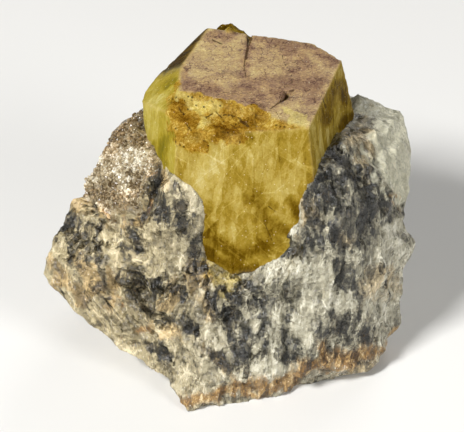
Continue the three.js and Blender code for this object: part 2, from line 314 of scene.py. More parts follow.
# %% The corners of the broken faces
HEART = np.array([0, 1.5, 9.0])
LUMP_CORNERS = {
    "foot": [
        (-6, -16, 1), (-4, -17, 0.5), (-2, -16.5, 1), (2.5, -14.7, 1.2), (7.5, -13.1, 2.2),
        (13.5, -11.8, 1.2), (16.2, -10.8, 1.2), (17, -9.8, 1.7),
    ],
    "frontHem": [
        (-3, -16.5, 2.5), (-0.5, -16, 3.5), (3.5, -15, 3.5), (7.5, -14, 4), (12, -12.5, 4),
        (16.1, -10.3, 3.5),
    ],
    "leftFoot": [
        (-6.4, -15.1, 1.9), (-7.4, -13.7, 2.3), (-9.5, -12.5, 3), (-13, -10.5, 4.5), (-14.5, -9.5, 6.5),
        (-17, -8.5, 6.5), (-19, -7.5, 8), (-20.5, -6.5, 9.5),
    ],
    "leftStrip": [
        (-12.5, -11, 7.5), (-9.5, -12, 5.5), (-7, -14, 4),
    ],
    "wingEdge": [
        (-22, -4.9, 11.1), (-20, -6, 13.5), (-17, -7, 14.5), (-14.5, -8, 14.5), (-12.5, -8, 14),
    ],
    "wingTop": [
        (-21.5, -3.5, 13), (-20.5, -2, 14.5), (-19.5, -1, 17), (-18.5, 0, 18.5), (-16, -5, 16),
        (-12.5, -6, 16.5), (-16, -3, 18.5), (-12.5, -5, 19),
    ],
    "wingFace": [
        (-15.5, -8.5, 10), (-12.5, -10, 9), (-11, -8, 13), (-9.5, -8, 10.5), (-9.5, -10, 8),
    ],
    "leftTop": [
        (-17, 0.5, 18.5), (-17, 1, 20), (-15.5, 3, 21), (-14.5, 4, 23), (-14, 5, 24), (-12, 5.5, 26),
        (-10.5, 5, 26.5),
    ],
    "sugaryMass": [
        (-12, 2.5, 27), (-14, 2, 24.5), (-11, 1, 26), (-15, -0.5, 22.5), (-13, -2, 25), (-15.5, -2, 20.5),
        (-13, -4, 23.5), (-11, -3.5, 24), (-14.5, -4, 20), (-11.5, -5, 21.5),
    ],
    "middleBlock": [
        (-10.5, -6.5, 17.5), (-9.5, -8, 14), (-7, -9, 16), (-8, -10.5, 11), (-5, -11, 12), (-5.5, -9, 19),
    ],
    "darkFacet": [
        (-8.5, -4.5, 24), (-9.5, -6.5, 19), (-8, -8.5, 21), (-4, -9, 19.5),
    ],
    "paleBand": [
        (-7.5, -7.5, 25.5), (-5.5, -8.6, 23.7), (-4, -8.8, 21), (-4, -9, 15.8),
    ],
    "lumpBelow": [
        (-1, -11.5, 13), (2, -11, 13),
    ],
    "middle": [
        (-4.5, -12.5, 11), (-3, -14.5, 8), (-1, -16, 4), (-6.5, -13, 7), (-6, -11.5, 9), (-0.5, -12, 10),
        (1, -14, 6.5),
    ],
    "flutes": [
        (2.5, -12, 12), (2.5, -14.5, 5), (4, -11.5, 12), (3.5, -14, 5), (5, -12, 14.5), (5, -14.5, 4),
        (6.5, -11.5, 12), (6.5, -13.5, 5), (8, -12, 14), (8, -13.5, 5.5),
    ],
    "rightFace": [
        (9, -11, 23.5), (10.5, -10, 27), (13, -6.5, 27.5), (12.5, -10.5, 23.5), (10.5, -12.5, 19),
        (14.5, -10, 19), (11, -13, 12.5), (15.5, -10.5, 11.5), (14, -11.5, 8), (13.5, -8.5, 25.5),
        (16, -7, 23), (18, -6.5, 17.5),
    ],
    "rightTop": [
        (13, -1.5, 28.5), (15, -0.5, 27), (16, -3, 25), (18, 3.5, 25.5), (18.5, -1, 22.5),
    ],
    "rightEdge": [
        (15.5, 10.5, 26), (18, 10, 25), (20, 9.5, 24.5), (21, 7.5, 23), (21.3, 5, 20.5), (20.8, 2, 18.5),
        (19.9, 0.9, 15.4), (19.7, -0.6, 14.4), (20.8, -1.3, 13.5), (21.3, -1.8, 12.6), (21.2, -2.2, 11.5),
        (20, -3, 10.2), (19.7, -4, 6), (20, -4.5, 3.5), (18, -6.5, 2.5),
    ],
    "rimLeft": [
        (-9.7, 1.2, 26.6), (-9, -1, 26.8), (-7.9, -4, 26), (-6.6, -7.1, 26.8), (-3.1, -7.9, 23.7),
        (-3, -8.2, 20.3), (-3, -8.7, 15.4), (-1.2, -9.1, 14.5), (0.9, -9.5, 13.5),
    ],
    "rimRight": [
        (2.9, -9.7, 14.7), (4.6, -9.7, 16.9), (6.3, -9.9, 18.6), (7.5, -9.8, 21.9), (7.7, -9.7, 24.1),
        (9.2, -9.6, 27.9), (10.6, -4.8, 28.4), (12.2, 0.8, 27.7), (14.6, 6.6, 25.5),
    ],
    "insideCrystal": [
        (-1.2, -6.4, 16.5), (1.5, -7, 14.8), (1, -4.5, 18), (2, -1, 22), (5, -5, 24), (8.5, -3, 26.5),
        (-3, -2.5, 24.5), (3, 5, 23), (8, 6, 24), (-5, 3, 24.5),
    ],
    "back": [
        (-14, 9, 21.5), (-8.8, 12.4, 24.5), (-3, 15.4, 26), (3.5, 15, 24), (10, 13.6, 25.5),
        (16, 12.4, 23), (-17.5, 7, 13.5), (-10, 14.2, 15), (0, 17.2, 14), (9, 16.4, 13), (17, 12.4, 12),
        (19.5, 7.5, 6), (-15.5, 9, 5), (-9, 14.6, 3), (0.5, 16.9, 4), (9.5, 16, 3.5),
    ],
    "underside": [
        (-12.5, -4.5, 3), (-9, -9, 1), (-13, 4, -1.5), (-9, 12.5, -1.5), (0, 15, -1.5), (9, 14, -1.5),
        (16.5, 9.5, -1.5), (16.5, -3, -1.5), (12, -9.5, -1.2), (7, -11.8, -1.2), (1, -14.6, -1.2),
        (-4.6, -15.8, -1), (-5, -12, -1.2), (0, 0, -2),
    ],
}
print("parts of the lump:", ", ".join(LUMP_CORNERS))

# %% What each part of the skin is made of
# Shares from 0 to 1: milky white, dark smoke, iron stain, sugary grains, pale green crust, and flutes that
# run upright or slanting.
FINISHES = ("milky", "smoke", "iron", "sugar", "crust", "fluted", "slanting")
PARTS = {
    "foot": (0.5, 0.0, 0.6, 0.2, 0.0, 0.0, 0.0),
    "frontHem": (0.6, 0.1, 0.4, 0.1, 0.0, 0.4, 0.0),
    "leftFoot": (0.7, 0.0, 0.3, 0.1, 0.0, 0.0, 0.3),
    "leftStrip": (0.45, 0.1, 0.1, 0.0, 0.0, 0.0, 0.4),
    "wingEdge": (0.6, 0.1, 0.2, 0.1, 0.0, 0.2, 0.5),
    "wingTop": (0.65, 0.3, 0.15, 0.1, 0.0, 0.3, 0.4),
    "wingFace": (0.7, 0.2, 0.3, 0.0, 0.0, 0.0, 1.0),
    "leftTop": (0.5, 0.0, 0.35, 0.8, 0.0, 0.0, 0.0),
    "sugaryMass": (0.5, 0.0, 0.1, 1.0, 0.0, 0.0, 0.0),
    "middleBlock": (0.35, 0.15, 0.0, 0.15, 0.0, 0.1, 0.0),
    "darkFacet": (0.3, 0.5, 0.0, 0.0, 0.0, 0.3, 0.0),
    "paleBand": (0.9, 0.0, 0.1, 0.3, 0.1, 0.0, 0.0),
    "lumpBelow": (0.5, 0.1, 0.05, 0.2, 0.2, 0.0, 0.2),
    "middle": (0.45, 0.25, 0.05, 0.0, 0.0, 0.2, 0.3),
    "flutes": (0.55, 0.3, 0.0, 0.0, 0.0, 1.0, 0.0),
    "rightFace": (0.45, 0.4, 0.0, 0.0, 0.0, 0.8, 0.0),
    "rightTop": (0.5, 0.2, 0.15, 0.0, 0.3, 0.4, 0.0),
    "rightEdge": (0.6, 0.05, 0.05, 0.1, 0.5, 0.3, 0.0),
    "rimLeft": (0.7, 0.0, 0.15, 0.3, 0.1, 0.0, 0.0),
    "rimRight": (0.4, 0.35, 0.05, 0.0, 0.0, 0.3, 0.0),
    "insideCrystal": (0.5, 0.2, 0.0, 0.0, 0.0, 0.0, 0.0),
    "back": (0.55, 0.25, 0.2, 0.1, 0.15, 0.4, 0.0),
    "underside": (0.6, 0.1, 0.4, 0.1, 0.0, 0.1, 0.0),
}
corners = np.concatenate([LUMP_CORNERS[part] for part in PARTS]).astype(float) - HEART
made_of = np.concatenate([np.tile(PARTS[part], (len(LUMP_CORNERS[part]), 1)) for part in PARTS])
print(len(corners), "corners in", len(PARTS), "parts")

# %% The triangles between the corners, as seen from the heart
def triangles_between(ways):
    """The skin of the smallest solid that holds points on a ball: every three neighbouring points make a
    triangle."""
    ball = bmesh.new()
    for way in ways:
        ball.verts.new(way)
    bmesh.ops.convex_hull(ball, input=ball.verts)
    ball.verts.index_update()
    found = np.array([[vert.index for vert in face.verts] for face in ball.faces])
    ball.free()
    return found


def facing_out(triangles, ways):
    """Each triangle's corners in the order that runs anticlockwise seen from outside."""
    a, b, c = (ways[triangles[:, k]] for k in range(3))
    inward = (np.cross(b - a, c - a) * a).sum(axis=1) < 0
    return np.where(inward[:, None], triangles[:, ::-1], triangles)


def outward_at_corners():
    """At each corner the mean of the squares to the triangles that meet there, the larger ones counting
    more."""
    a, b, c = (corners[triangles[:, k]] for k in range(3))
    square = np.cross(b - a, c - a)
    total = np.zeros_like(corners)
    for k in range(3):
        np.add.at(total, triangles[:, k], square)
    return unit(total)


corner_ways = unit(corners)
triangles = facing_out(triangles_between(corner_ways), corner_ways)
outward = outward_at_corners()
print(len(triangles), "broken faces")

# %% Distance to the lump's skin, and what the skin is made of, in any direction
OUTWARD_LEAN = 0.4
WAVES = {"count": 8, "longest": 13, "shrink": 0.8, "height": 0.012, "turn": 2.4}


def shares_of_corners(ways):
    """For each direction, the triangle that it passes through and the shares of its three corners: a
    corner's share is the volume that the direction spans with the other two corners, and the three shares
    add up to one."""
    a, b, c = (corners[triangles[:, k]] for k in range(3))
    sides = np.stack([np.cross(b, c), np.cross(c, a), np.cross(a, b)], axis=1)
    scaled = sides / np.linalg.norm(sides, axis=2, keepdims=True)
    deepest = np.full(len(ways), -np.inf)
    chosen = np.zeros(len(ways), int)
    for number, three in enumerate(scaled):
        depth = (ways @ three.T).min(axis=1)
        better = depth > deepest
        deepest[better], chosen[better] = depth[better], number
    shares = (sides[chosen] * ways[:, None, :]).sum(axis=2)
    return triangles[chosen], shares / shares.sum(axis=1, keepdims=True)


def waves(places):
    """Gentle roughness: sine waves that run in directions spread round a ball, each one shorter and
    lower."""
    total = np.zeros(len(places))
    for i in range(WAVES["count"]):
        length = WAVES["longest"] * WAVES["shrink"] ** i
        rise = 1 - (2 * i + 1) / WAVES["count"]
        flat, turn = math.sqrt(1 - rise * rise), i * WAVES["turn"]
        run = places @ np.array([flat * math.cos(turn), flat * math.sin(turn), rise])
        total += WAVES["height"] * length * np.sin(2 * math.pi * run / length + turn)
    return total


def lump_skin(ways):
    """Places on the plain skin, the finishes there and the outward direction: sums over the three corners,
    weighted by shares."""
    near_corners, shares = shares_of_corners(ways)
    at_corners = (corners, made_of, outward)
    places, parts, out = ((each[near_corners] * shares[:, :, None]).sum(axis=1) for each in at_corners)
    places += ways * waves(places)[:, None]
    return places + HEART, parts, unit(unit(out) + OUTWARD_LEAN * ways)


print("the plain skin straight above the heart:", lump_skin(np.array([[0.0, 0, 1]]))[0].round(2))

# %% [markdown]
# ## Breaks and marks in the lump's skin
#
# The plain skin is then pushed in and out, square to itself. Glassy quartz breaks in scoops, so chipped
# noise at three sizes comes first. On the fluted parts it is drawn out, upright on the right and slanting
# on the left wing, because the breaks there follow how the quartz grew. The sugary mass gets rounded lumps
# instead, and the whole skin a little fine noise. Where the lump touches the crystal it stays close to it.
#
# The marks come first, because the skin carries them. Smoke and veils lie side by side in this quartz, iron
# stains its foot, tan tints the parts that have weathered, and a pale green rim runs down the right. Below
# the crystal a corner is greenish, and parts of the sugary mass sparkle.

# %% Smoke and veils, as they are seen from the front
SMOKE = [
    (13, (328, 160), (326, 174)), (11, (344, 164), (350, 176)), (5, (338, 150)),
    (11, (324, 200), (330, 210)), (11, (342, 196), (346, 215)), (7, (322, 206), (336, 190)),
    (15, (352, 206), (362, 236)), (9, (328, 230), (340, 244)), (6, (358, 215), (362, 238)),
    (5, (374, 168), (374, 190)), (6, (388, 206), (394, 214)), (6, (312, 196), (308, 206)),
    (5, (300, 228), (312, 245)), (4, (338, 268), (344, 286)), (5, (350, 278), (360, 296)),
    (4, (364, 246)), (6, (333, 314), (340, 330)), (7, (354, 318), (362, 338)),
    (6, (322, 334), (332, 354)), (5, (350, 342), (358, 356)), (4, (384, 284), (388, 296)),
    (8, (226, 294), (238, 290)), (7, (238, 284), (256, 288)),
    (8, (228, 314), (236, 345), (244, 366)), (6, (248, 330), (248, 350)),
    (5, (242, 300), (248, 308)), (3, (264, 282), (263, 345)), (4, (287, 288), (287, 318)),
    (5, (282, 330), (280, 350)), (5, (296, 344), (304, 356)), (5, (300, 250), (288, 254)),
    (11, (138, 278), (150, 302)), (4, (155, 285), (156, 306)), (6, (132, 290), (142, 306)),
    (4, (164, 314), (172, 321)), (3, (176, 285), (184, 300)), (4, (206, 296), (212, 302)),
    (6, (156, 348), (168, 356)), (4, (178, 322), (194, 334)), (7, (173, 195), (184, 218)),
    (6, (162, 192), (164, 216)), (5, (158, 182)), (6, (178, 225), (188, 228)), (5, (145, 217)),
    (6, (128, 232), (140, 246)), (5, (124, 248), (130, 258)), (5, (74, 236), (72, 256)),
    (4, (84, 236), (80, 266)), (4, (94, 242), (88, 262)), (5, (100, 228), (124, 232)),
    (4, (104, 246), (98, 262)), (4, (100, 272), (108, 304)), (5, (194, 246), (202, 270)),
    (5, (188, 262), (196, 282)), (4, (84, 296), (94, 312)), (3, (208, 350), (228, 360)),
    (5, (220, 362), (228, 372)), (5, (66, 214), (58, 232)), (4, (90, 186), (96, 200)),
]
VEIL = [
    (4, (346, 148), (352, 170)), (3, (324, 184), (350, 184)), (4, (354, 188), (362, 193)),
    (3, (356, 176), (352, 200), (348, 222)), (2, (336, 222), (350, 220)),
    (5, (346, 240), (356, 258)), (8, (386, 232), (392, 252)), (7, (372, 252), (384, 262)),
    (4, (334, 252), (350, 262)), (4, (280, 258), (292, 264)), (4, (296, 270), (318, 284)),
    (5, (304, 286), (322, 298)), (6, (320, 292), (346, 300)),
    (4, (366, 300), (360, 314), (352, 318)), (6, (314, 306), (320, 328)),
    (7, (294, 322), (308, 330)), (6, (268, 278), (274, 300)),
    (6, (270, 305), (272, 340), (272, 370)), (5, (282, 290), (284, 304)),
    (4, (250, 312), (244, 322), (256, 330)), (5, (258, 330), (258, 368)),
    (5, (262, 374), (290, 372)), (6, (320, 262), (334, 270)), (4, (340, 338), (346, 350)),
    (7, (376, 296), (380, 316)), (5, (392, 268), (390, 288)), (4, (396, 224), (392, 236)),
    (5, (206, 322), (212, 342)), (4, (218, 326), (224, 346)), (7, (176, 348), (196, 352)),
    (8, (196, 366), (206, 380)), (8, (188, 390), (214, 376)), (5, (172, 312), (180, 318)),
    (3, (128, 312), (144, 316), (160, 314)), (5, (166, 334), (178, 340)),
    (8, (150, 228), (162, 240)), (7, (150, 250), (166, 262)), (7, (170, 246), (182, 258)),
    (5, (144, 262), (158, 276)), (4, (192, 233), (198, 236)),
    (8, (170, 178), (186, 190), (198, 206)), (11, (191, 194), (199, 222)),
    (8, (90, 276), (112, 290)), (4, (203, 200), (204, 216)), (8, (52, 262), (60, 256)),
    (10, (84, 248), (112, 236)), (5, (44, 270), (56, 282)), (4, (70, 280)),
    (5, (112, 264), (104, 268)), (5, (116, 240), (112, 256)), (4, (92, 224), (84, 232)),
    (4, (100, 318), (78, 318)), (6, (112, 334), (132, 350)), (5, (140, 358), (160, 374)),
    (8, (112, 156), (126, 160)), (6, (112, 172), (120, 176)), (4, (128, 190)), (4, (90, 176)),
    (7, (138, 156), (146, 166)),
]
print("smoke and veils:", len(SMOKE), len(VEIL))

# %% Iron, tan, the pale rim, the greenish corner and the sparkle
IRON = [
    (5, (184, 402), (206, 400), (230, 390)), (6, (236, 386), (262, 386)),
    (6, (262, 382), (290, 378)), (7, (292, 372), (314, 364)), (6, (322, 348), (326, 366)),
    (7, (338, 360), (352, 360)), (6, (356, 358), (372, 350)), (3, (378, 346), (396, 328)),
    (2.5, (136, 332), (150, 328)), (1, (150, 356)), (1, (121, 338)), (1, (98, 208), (112, 216)),
    (1, (386, 196), (392, 190), (402, 198)), (1, (388, 202), (400, 210)),
    (2, (246, 394), (270, 392)), (1, (118, 296), (121, 308)), (1, (150, 212), (153, 200)),
    (1, (148, 176), (156, 172)),
]
TAN = [
    (14, (118, 132), (132, 128)), (8, (112, 148), (108, 140)), (7, (110, 190), (122, 202)),
    (6, (142, 218), (148, 216)), (7, (136, 190), (146, 190)), (8, (312, 212), (318, 226)),
    (7, (346, 134), (352, 142)), (8, (176, 330), (164, 328)), (8, (170, 284), (176, 300)),
    (10, (194, 262), (196, 280)), (6, (218, 360), (226, 370)), (8, (340, 370), (372, 364)),
    (7, (90, 196), (74, 206)), (7, (304, 196), (306, 216)), (7, (336, 240), (346, 246)),
    (8, (380, 300), (376, 284)), (7, (84, 268), (92, 292)), (6, (110, 266), (116, 284)),
    (7, (116, 292), (120, 312)), (6, (98, 284), (106, 304)), (6, (72, 286), (84, 306)),
    (5, (98, 208), (112, 216)), (5, (126, 222), (140, 224)), (5, (152, 196), (150, 214)),
    (9, (368, 136), (370, 174)), (6, (360, 116), (364, 132)), (4, (202, 346), (214, 356)),
    (5, (152, 144), (158, 160)), (8, (52, 262), (60, 284)), (7, (384, 272), (394, 290)),
    (6, (148, 176), (160, 176)), (8, (200, 300), (208, 312)),
]
RIM = [
    (15, (392, 118), (398, 160)), (12, (384, 140), (388, 176)), (9, (376, 108), (368, 100)),
    (6, (404, 182), (402, 196)), (7, (356, 96), (370, 110)),
]
GREEN = [
    (7, (208, 264), (228, 274)), (6, (212, 274), (226, 284)), (5, (228, 284), (226, 296)),
    (5, (236, 282), (230, 290)),
]
SPARKLING = [
    (9, (104, 160), (122, 154), (140, 160)), (5, (84, 184), (90, 176)), (5, (112, 172), (126, 176)),
    (4, (126, 190), (130, 194)), (3, (146, 168), (152, 174)), (3, (98, 206), (110, 214)),
    (3, (86, 198), (76, 204)),
]
print("marks in each:", [len(marks) for marks in (IRON, TAN, RIM, GREEN, SPARKLING)])

# %% The flutes
UPRIGHT = (0.06, 0.1, 1)
SLANTING = (0.5, -0.3, -0.8)
FLUTE_SIZE, THIN_FLUTE_SIZE, FLUTE_STRETCH = 2.8, 1.1, 5
LEAST_SHARE = 0.02


def flutes(places, share, along, seed):
    """Ribs drawn out along a direction, worked out only where the skin shows them: their relief, the flats'
    own numbers, and the steps to the middles of the flats."""
    relief, flat, to_seed = np.zeros(len(places)), np.zeros(len(places)), np.zeros((len(places), 3))
    here = share > LEAST_SHARE
    drawn = drawn_out(places[here], along, FLUTE_STRETCH)
    wide, wide_flat, wide_step = chips(drawn, FLUTE_SIZE, seed, 1.2)
    thin, thin_flat, _ = chips(drawn, THIN_FLUTE_SIZE, seed + 1, 1.1)
    steps = 0.4 * (wide_flat - 0.5) + 0.2 * (thin_flat - 0.5)
    relief[here] = share[here] * (1.25 * wide + 0.5 * thin + steps)
    flat[here] = 0.65 * wide_flat + 0.35 * thin_flat
    to_seed[here] = drawn_out(wide_step, along, 1 / 2)
    return relief, flat, to_seed


print("ribs at three places:", flutes(np.eye(3), np.ones(3), UPRIGHT, 1)[0].round(2))

# %% The relief of the whole lump
# Chips and sugary lumps: size in mm, seed, and how much their flats tilt.
COARSE, MIDDLING, SMALL = (5.0, 21, 1.3), (2.0, 22, 1.3), (0.8, 23, 1.2)
SUGAR_LUMPS, SUGAR_CRUMBS = (2.6, 26, 0.6), (0.75, 27, 0.9)
# How high in mm the chips stand, and the steps between their flats.
COARSE_HIGH, MIDDLING_HIGH, SMALL_HIGH = 1.5, 0.9, 0.32
COARSE_STEP, MIDDLING_STEP, SMALL_STEP = 0.5, 0.4, 0.14
LUMPS_HIGH, CRUMBS_HIGH, FINE_HIGH = 1.1, 0.4, 0.07
SWIRL_SIZE, SWIRL_REACH, SWIRL_SEEDS = 3, 0.6, (11, 12, 13)
UPRIGHT_SEED, SLANTING_SEED = 24, 34
TOUCHING = 1.2


def lump_relief(places, finish):
    """How far in mm the skin stands out or in, two values for its look, and the step to the middle of the
    flat. Chips of three sizes, the two kinds of flutes and the sugary lumps are each taken times the share
    of the skin that shows them. Each kind of flat has a number of its own, and these are blended into one,
    as are the steps. The second value, read from the middling and small chips, is painted light and shade:
    high on their ridges and low in their scoops. Near the crystal the relief is lower."""
    swirl = np.stack([swell(places, SWIRL_SIZE, seed) for seed in SWIRL_SEEDS], axis=1)
    swirled = places + SWIRL_REACH * swirl
    fluted, slanting, sugar = finish["fluted"], finish["slanting"], finish["sugar"]
    drawn = np.clip(fluted + slanting, 0, 1)
    plain = (1 - 0.6 * drawn) * (1 - 0.7 * sugar)
    coarse, coarse_flat, _ = chips(swirled, *COARSE)
    middling, flat, to_seed = chips(swirled, *MIDDLING)
    small, small_flat, _ = chips(swirled, *SMALL)
    large = COARSE_HIGH * coarse + COARSE_STEP * (coarse_flat - 0.5)
    relief = plain * (large + MIDDLING_HIGH * middling + MIDDLING_STEP * (flat - 0.5))
    little = SMALL_HIGH * small + SMALL_STEP * (small_flat - 0.5)
    relief += (1 - 0.6 * sugar) * (1 - 0.5 * drawn) * little
    flats = 0.4 * coarse_flat + 0.4 * flat + 0.2 * small_flat
    for share, along, seed in ((fluted, UPRIGHT, UPRIGHT_SEED), (slanting, SLANTING, SLANTING_SEED)):
        ribs, rib_flat, rib_step = flutes(swirled, share, along, seed)
        relief += ribs
        flats += share * (rib_flat - flats)
        to_seed += share[:, None] * (rib_step - to_seed)
    lumps, _, _ = chips(places, *SUGAR_LUMPS)
    crumbs, crumb_flat, _ = chips(places, *SUGAR_CRUMBS)
    relief -= sugar * (LUMPS_HIGH * lumps + CRUMBS_HIGH * crumbs)
    flats += sugar * (crumb_flat - flats)
    relief += FINE_HIGH * swells(places, 0.5, 28, 2)
    touching = eased(outside_crystal(places), TOUCHING, 0.2)
    relief = relief * (1 - 0.55 * touching) - 0.1 * touching
    return relief, flats, plain * middling + 0.5 * small, to_seed


front_places, front_shares, _ = lump_skin(FRONT[None])
front_relief = lump_relief(front_places, dict(zip(FINISHES, front_shares.T)))[0]
print("relief in mm, straight towards the front:", front_relief.round(2))

# %% The marks laid on the lump, and the skin that carries them
LAID = {"milky": VEIL, "smoke": SMOKE, "iron": IRON, "crust": RIM, "tan": TAN, "greenish": GREEN}
OWN_WEIGHT = {"milky": 0.5, "smoke": 0.4, "iron": 0.3, "crust": 0.5}
FLAT_SHARE = {"milky": 0.35, "smoke": 0.5, "tan": 0.5}
TO_FLAT_MIDDLE = 0.85
SPARKLING_SEED = 900
LEAST_OUTSIDE = 0.3
MOST_FORWARD, FORWARD_SLOPE = 2, 1.15
# How far a way has to look towards the front for marks to begin and to be whole there.
MARKS_BEGIN, MARKS_WHOLE = -0.35, -0.05
# At the outline, where the skin looks less than this towards the front, the relief is lowered by that share.
OUTLINE_LOOK, OUTLINE_LOWERED = 0.4, 0.75
# Where the stone begins to turn warm and where it is whole, in mm to the right of the middle.
WARM_BEGINS, WARM_WHOLE = 6, -12
LUMP_STEPS = 128
TOWARDS_WING = np.array([-0.22, 0, 0])


def laid_marks(places, to_seed, facing, finish):
    """Each part's own finish, weighed, plus the marks. A share of a mark is read at the middle of each
    flat, so that whole flats turn dark or pale, and the rest at the place itself, frayed upright. The far
    side has no marks, so its own finish counts double."""
    whole_flats = places + TO_FLAT_MIDDLE * to_seed
    for number, (name, marks) in enumerate(LAID.items()):
        under = OWN_WEIGHT.get(name, 0) * finish.get(name, 0) * (2 - facing)
        by_flat = near(whole_flats, facing, marks, 100 * number, ragged=0.6, fade=1.8)
        frayed = near(places, facing, marks, 100 * number, ragged=0.9, fade=2.0, frayed=UPRIGHT)
        share = FLAT_SHARE.get(name, 0)
        finish[name] = np.clip(under + share * by_flat + (1 - share) * frayed, 0, 1)
    finish["warm"] = eased(places[:, 0], WARM_BEGINS, WARM_WHOLE)
    finish["sparkling"] = near(places, facing, SPARKLING, SPARKLING_SEED, ragged=1.0)


def dressed_lump(ways):
    """Places on the full skin and the finishes there. The relief is worked out from what each part is made
    of, and then the marks are laid over that. The skin moves outwards by the relief, less where it turns
    away from the front, so that the outline stays true. Where it would cut into the crystal it comes
    forward, and it never goes below the flat underside."""
    places, shares, out = lump_skin(ways)
    finish = dict(zip(FINISHES, shares.T))
    # The second value is painted light and shade: high on the ridges of the chips and low in their scoops.
    relief, finish["flats"], finish["ridge_light_and_scoop_shade"], to_seed = lump_relief(places, finish)
    laid_marks(places, to_seed, eased(ways @ FRONT, MARKS_BEGIN, MARKS_WHOLE), finish)
    at_outline = eased(np.abs(out @ FRONT), OUTLINE_LOOK, 0.0)
    seat_gap = np.minimum(outside_crystal(places), LEAST_OUTSIDE)
    places += out * (relief * (1 - OUTLINE_LOWERED * at_outline))[:, None]
    forward = np.clip(seat_gap - outside_crystal(places), 0, MOST_FORWARD) * (seat_gap > 0)
    places += FRONT * (FORWARD_SLOPE * forward)[:, None]
    places[:, 2] = np.maximum(places[:, 2], 0)
    return places, finish


ways, faces = ball_grid(LUMP_STEPS, 0.45 * FRONT + TOWARDS_WING)
places, finish = dressed_lump(ways)
print("lump:", len(places), "corners,", len(faces), "faces, relief added")

# %% A mesh from places, faces and finishes
def mesh_of(name, places, faces, finishes=None):
    """A new object at the origin: places in mm become metres, and each finish becomes a value on every
    corner."""
    mesh = bpy.data.meshes.new(name)
    mesh.from_pydata((places * MM).tolist(), [], faces if isinstance(faces, list) else faces.tolist())
    mesh.validate()
    for finish_name, values in (finishes or {}).items():
        layer = mesh.attributes.new(finish_name, "FLOAT", "POINT")
        layer.data.foreach_set("value", np.ascontiguousarray(values, dtype=np.float32))
    mesh.polygons.foreach_set("use_smooth", np.ones(len(mesh.polygons), bool))
    made = bpy.data.objects.new(name, mesh)
    bpy.context.scene.collection.objects.link(made)
    return made


lump = mesh_of("quartz_lump", places, faces, finish)
print("quartz_lump:", len(lump.data.polygons), "faces")

# %% [markdown]
# ## The crystal's skin
#
# The same way is used for the crystal: in each direction the distance to every plane is known, and the
# least of them is the skin. The bites, the pit and the notch shorten it, and the knobs lengthen it. What
# each face is like, mauve, yellow or brown, comes from its share in that least distance.

# %% Distances to the planes, with the pit and the notch
def depth_inside(flat_places, outline):
    """How far a place on the top lies inside an outline, and 0 outside it: the distance to the nearest of
    the outline's sides, kept where a line to the right of the place crosses the outline an odd number of
    times."""
    nearest = np.full(len(flat_places), np.inf)
    crossings = np.zeros(len(flat_places), int)
    points = np.array(outline, float)
    for start, end in zip(points, np.roll(points, -1, axis=0)):
        along = end - start
        share = np.clip((flat_places - start) @ along / (along @ along), 0, 1)[:, None]
        nearest = np.minimum(nearest, np.linalg.norm(flat_places - start - share * along, axis=1))
        between = (flat_places[:, 1] > start[1]) != (flat_places[:, 1] > end[1])
        rise = end[1] - start[1] if end[1] != start[1] else 1
        side = start[0] + (flat_places[:, 1] - start[1]) * along[0] / rise
        crossings += between & (flat_places[:, 0] < side)
    return np.where(crossings % 2 == 1, nearest, 0)


def plane_distances(ways):
    """Distance to each plane: its reach divided by how squarely the direction meets it. Where the direction
    meets the top inside the pit or the notch, the distance is shorter by the depth, which grows over the
    first 0.3 mm."""
    facing = np.maximum(ways @ looks.T, 1e-3)
    distances = reaches / facing
    on_top = (CRYSTAL_MIDDLE + ways * distances[:, :1])[:, :2]
    for outline, depth in (PIT, NOTCH):
        distances[:, 0] -= depth * eased(depth_inside(on_top, outline), 0, 0.3) / facing[:, 0]
    return distances


def soft_least(distances, softness):
    """The least of several distances, rounded where two are close, and each one's share in it: the shares
    are e to the power of minus distance over softness, divided by their sum, whose logarithm rounds the
    least."""
    least = distances.min(axis=1, keepdims=True)
    powers = np.exp((least - distances) / softness)
    total = powers.sum(axis=1, keepdims=True)
    return (least - softness * np.log(total))[:, 0], powers / total


to_front, _ = soft_least(plane_distances(FRONT[None]), EDGE_SOFTNESS)
print("from the crystal's middle to its skin towards the front, in mm:", to_front.round(2))

# %% Distances to the bites and the knobs
def bite_distance(ways):
    """Distance at which a direction first enters a bite: the smaller root of the ellipsoid's squared
    equation."""
    nearest = np.full(len(ways), np.inf)
    for middle, radii in BITES:
        start = (CRYSTAL_MIDDLE - middle) / np.array(radii, float)
        run = ways / np.array(radii, float)
        square, half, rest = (run * run).sum(axis=1), run @ start, start @ start - 1
        inner = half * half - square * rest
        root = (-half - np.sqrt(np.maximum(inner, 0))) / square
        nearest = np.where((inner > 0) & (root > 0), np.minimum(nearest, root), nearest)
    return nearest


def knob_distance(ways):
    """Distance at which a direction leaves a turned box, or 0 where it misses it: in the box's own axes it
    enters by the last of three pairs of sides and leaves by the first."""
    furthest = np.zeros(len(ways))
    for middle, size, turned in BACK_KNOBS:
        axes = np.array(turn_matrix(turned))
        start = (CRYSTAL_MIDDLE - middle) @ axes
        run = ways @ axes
        run = np.where(np.abs(run) < 1e-6, 1e-6, run)
        half = np.array(size) / 2
        one, other = (-half - start) / run, (half - start) / run
        enters, leaves = np.minimum(one, other).max(axis=1), np.maximum(one, other).min(axis=1)
        furthest = np.where(leaves > enters, np.maximum(furthest, leaves), furthest)
    return furthest


def turn_matrix(turned):
    """A turn about Z, then Y, then X, by the three angles."""
    around = [Matrix.Rotation(angle, 3, axis) for angle, axis in zip(turned, "XYZ")]
    return around[0] @ around[1] @ around[2]


at_bite, at_knob = (unit(np.array([made[0][0]]) - CRYSTAL_MIDDLE) for made in (BITES, BACK_KNOBS))
print("mm to the first bite and knob:", bite_distance(at_bite).round(2), knob_distance(at_knob).round(2))

# %% [markdown]
# ## Marks on the crystal
#
# Rust and cream lie on the broken edge. Purple darkens the mauve top, amber and pale clouds lie in the
# yellow, and the dark marks are specks and cracks. They are laid on as the lump's marks are.

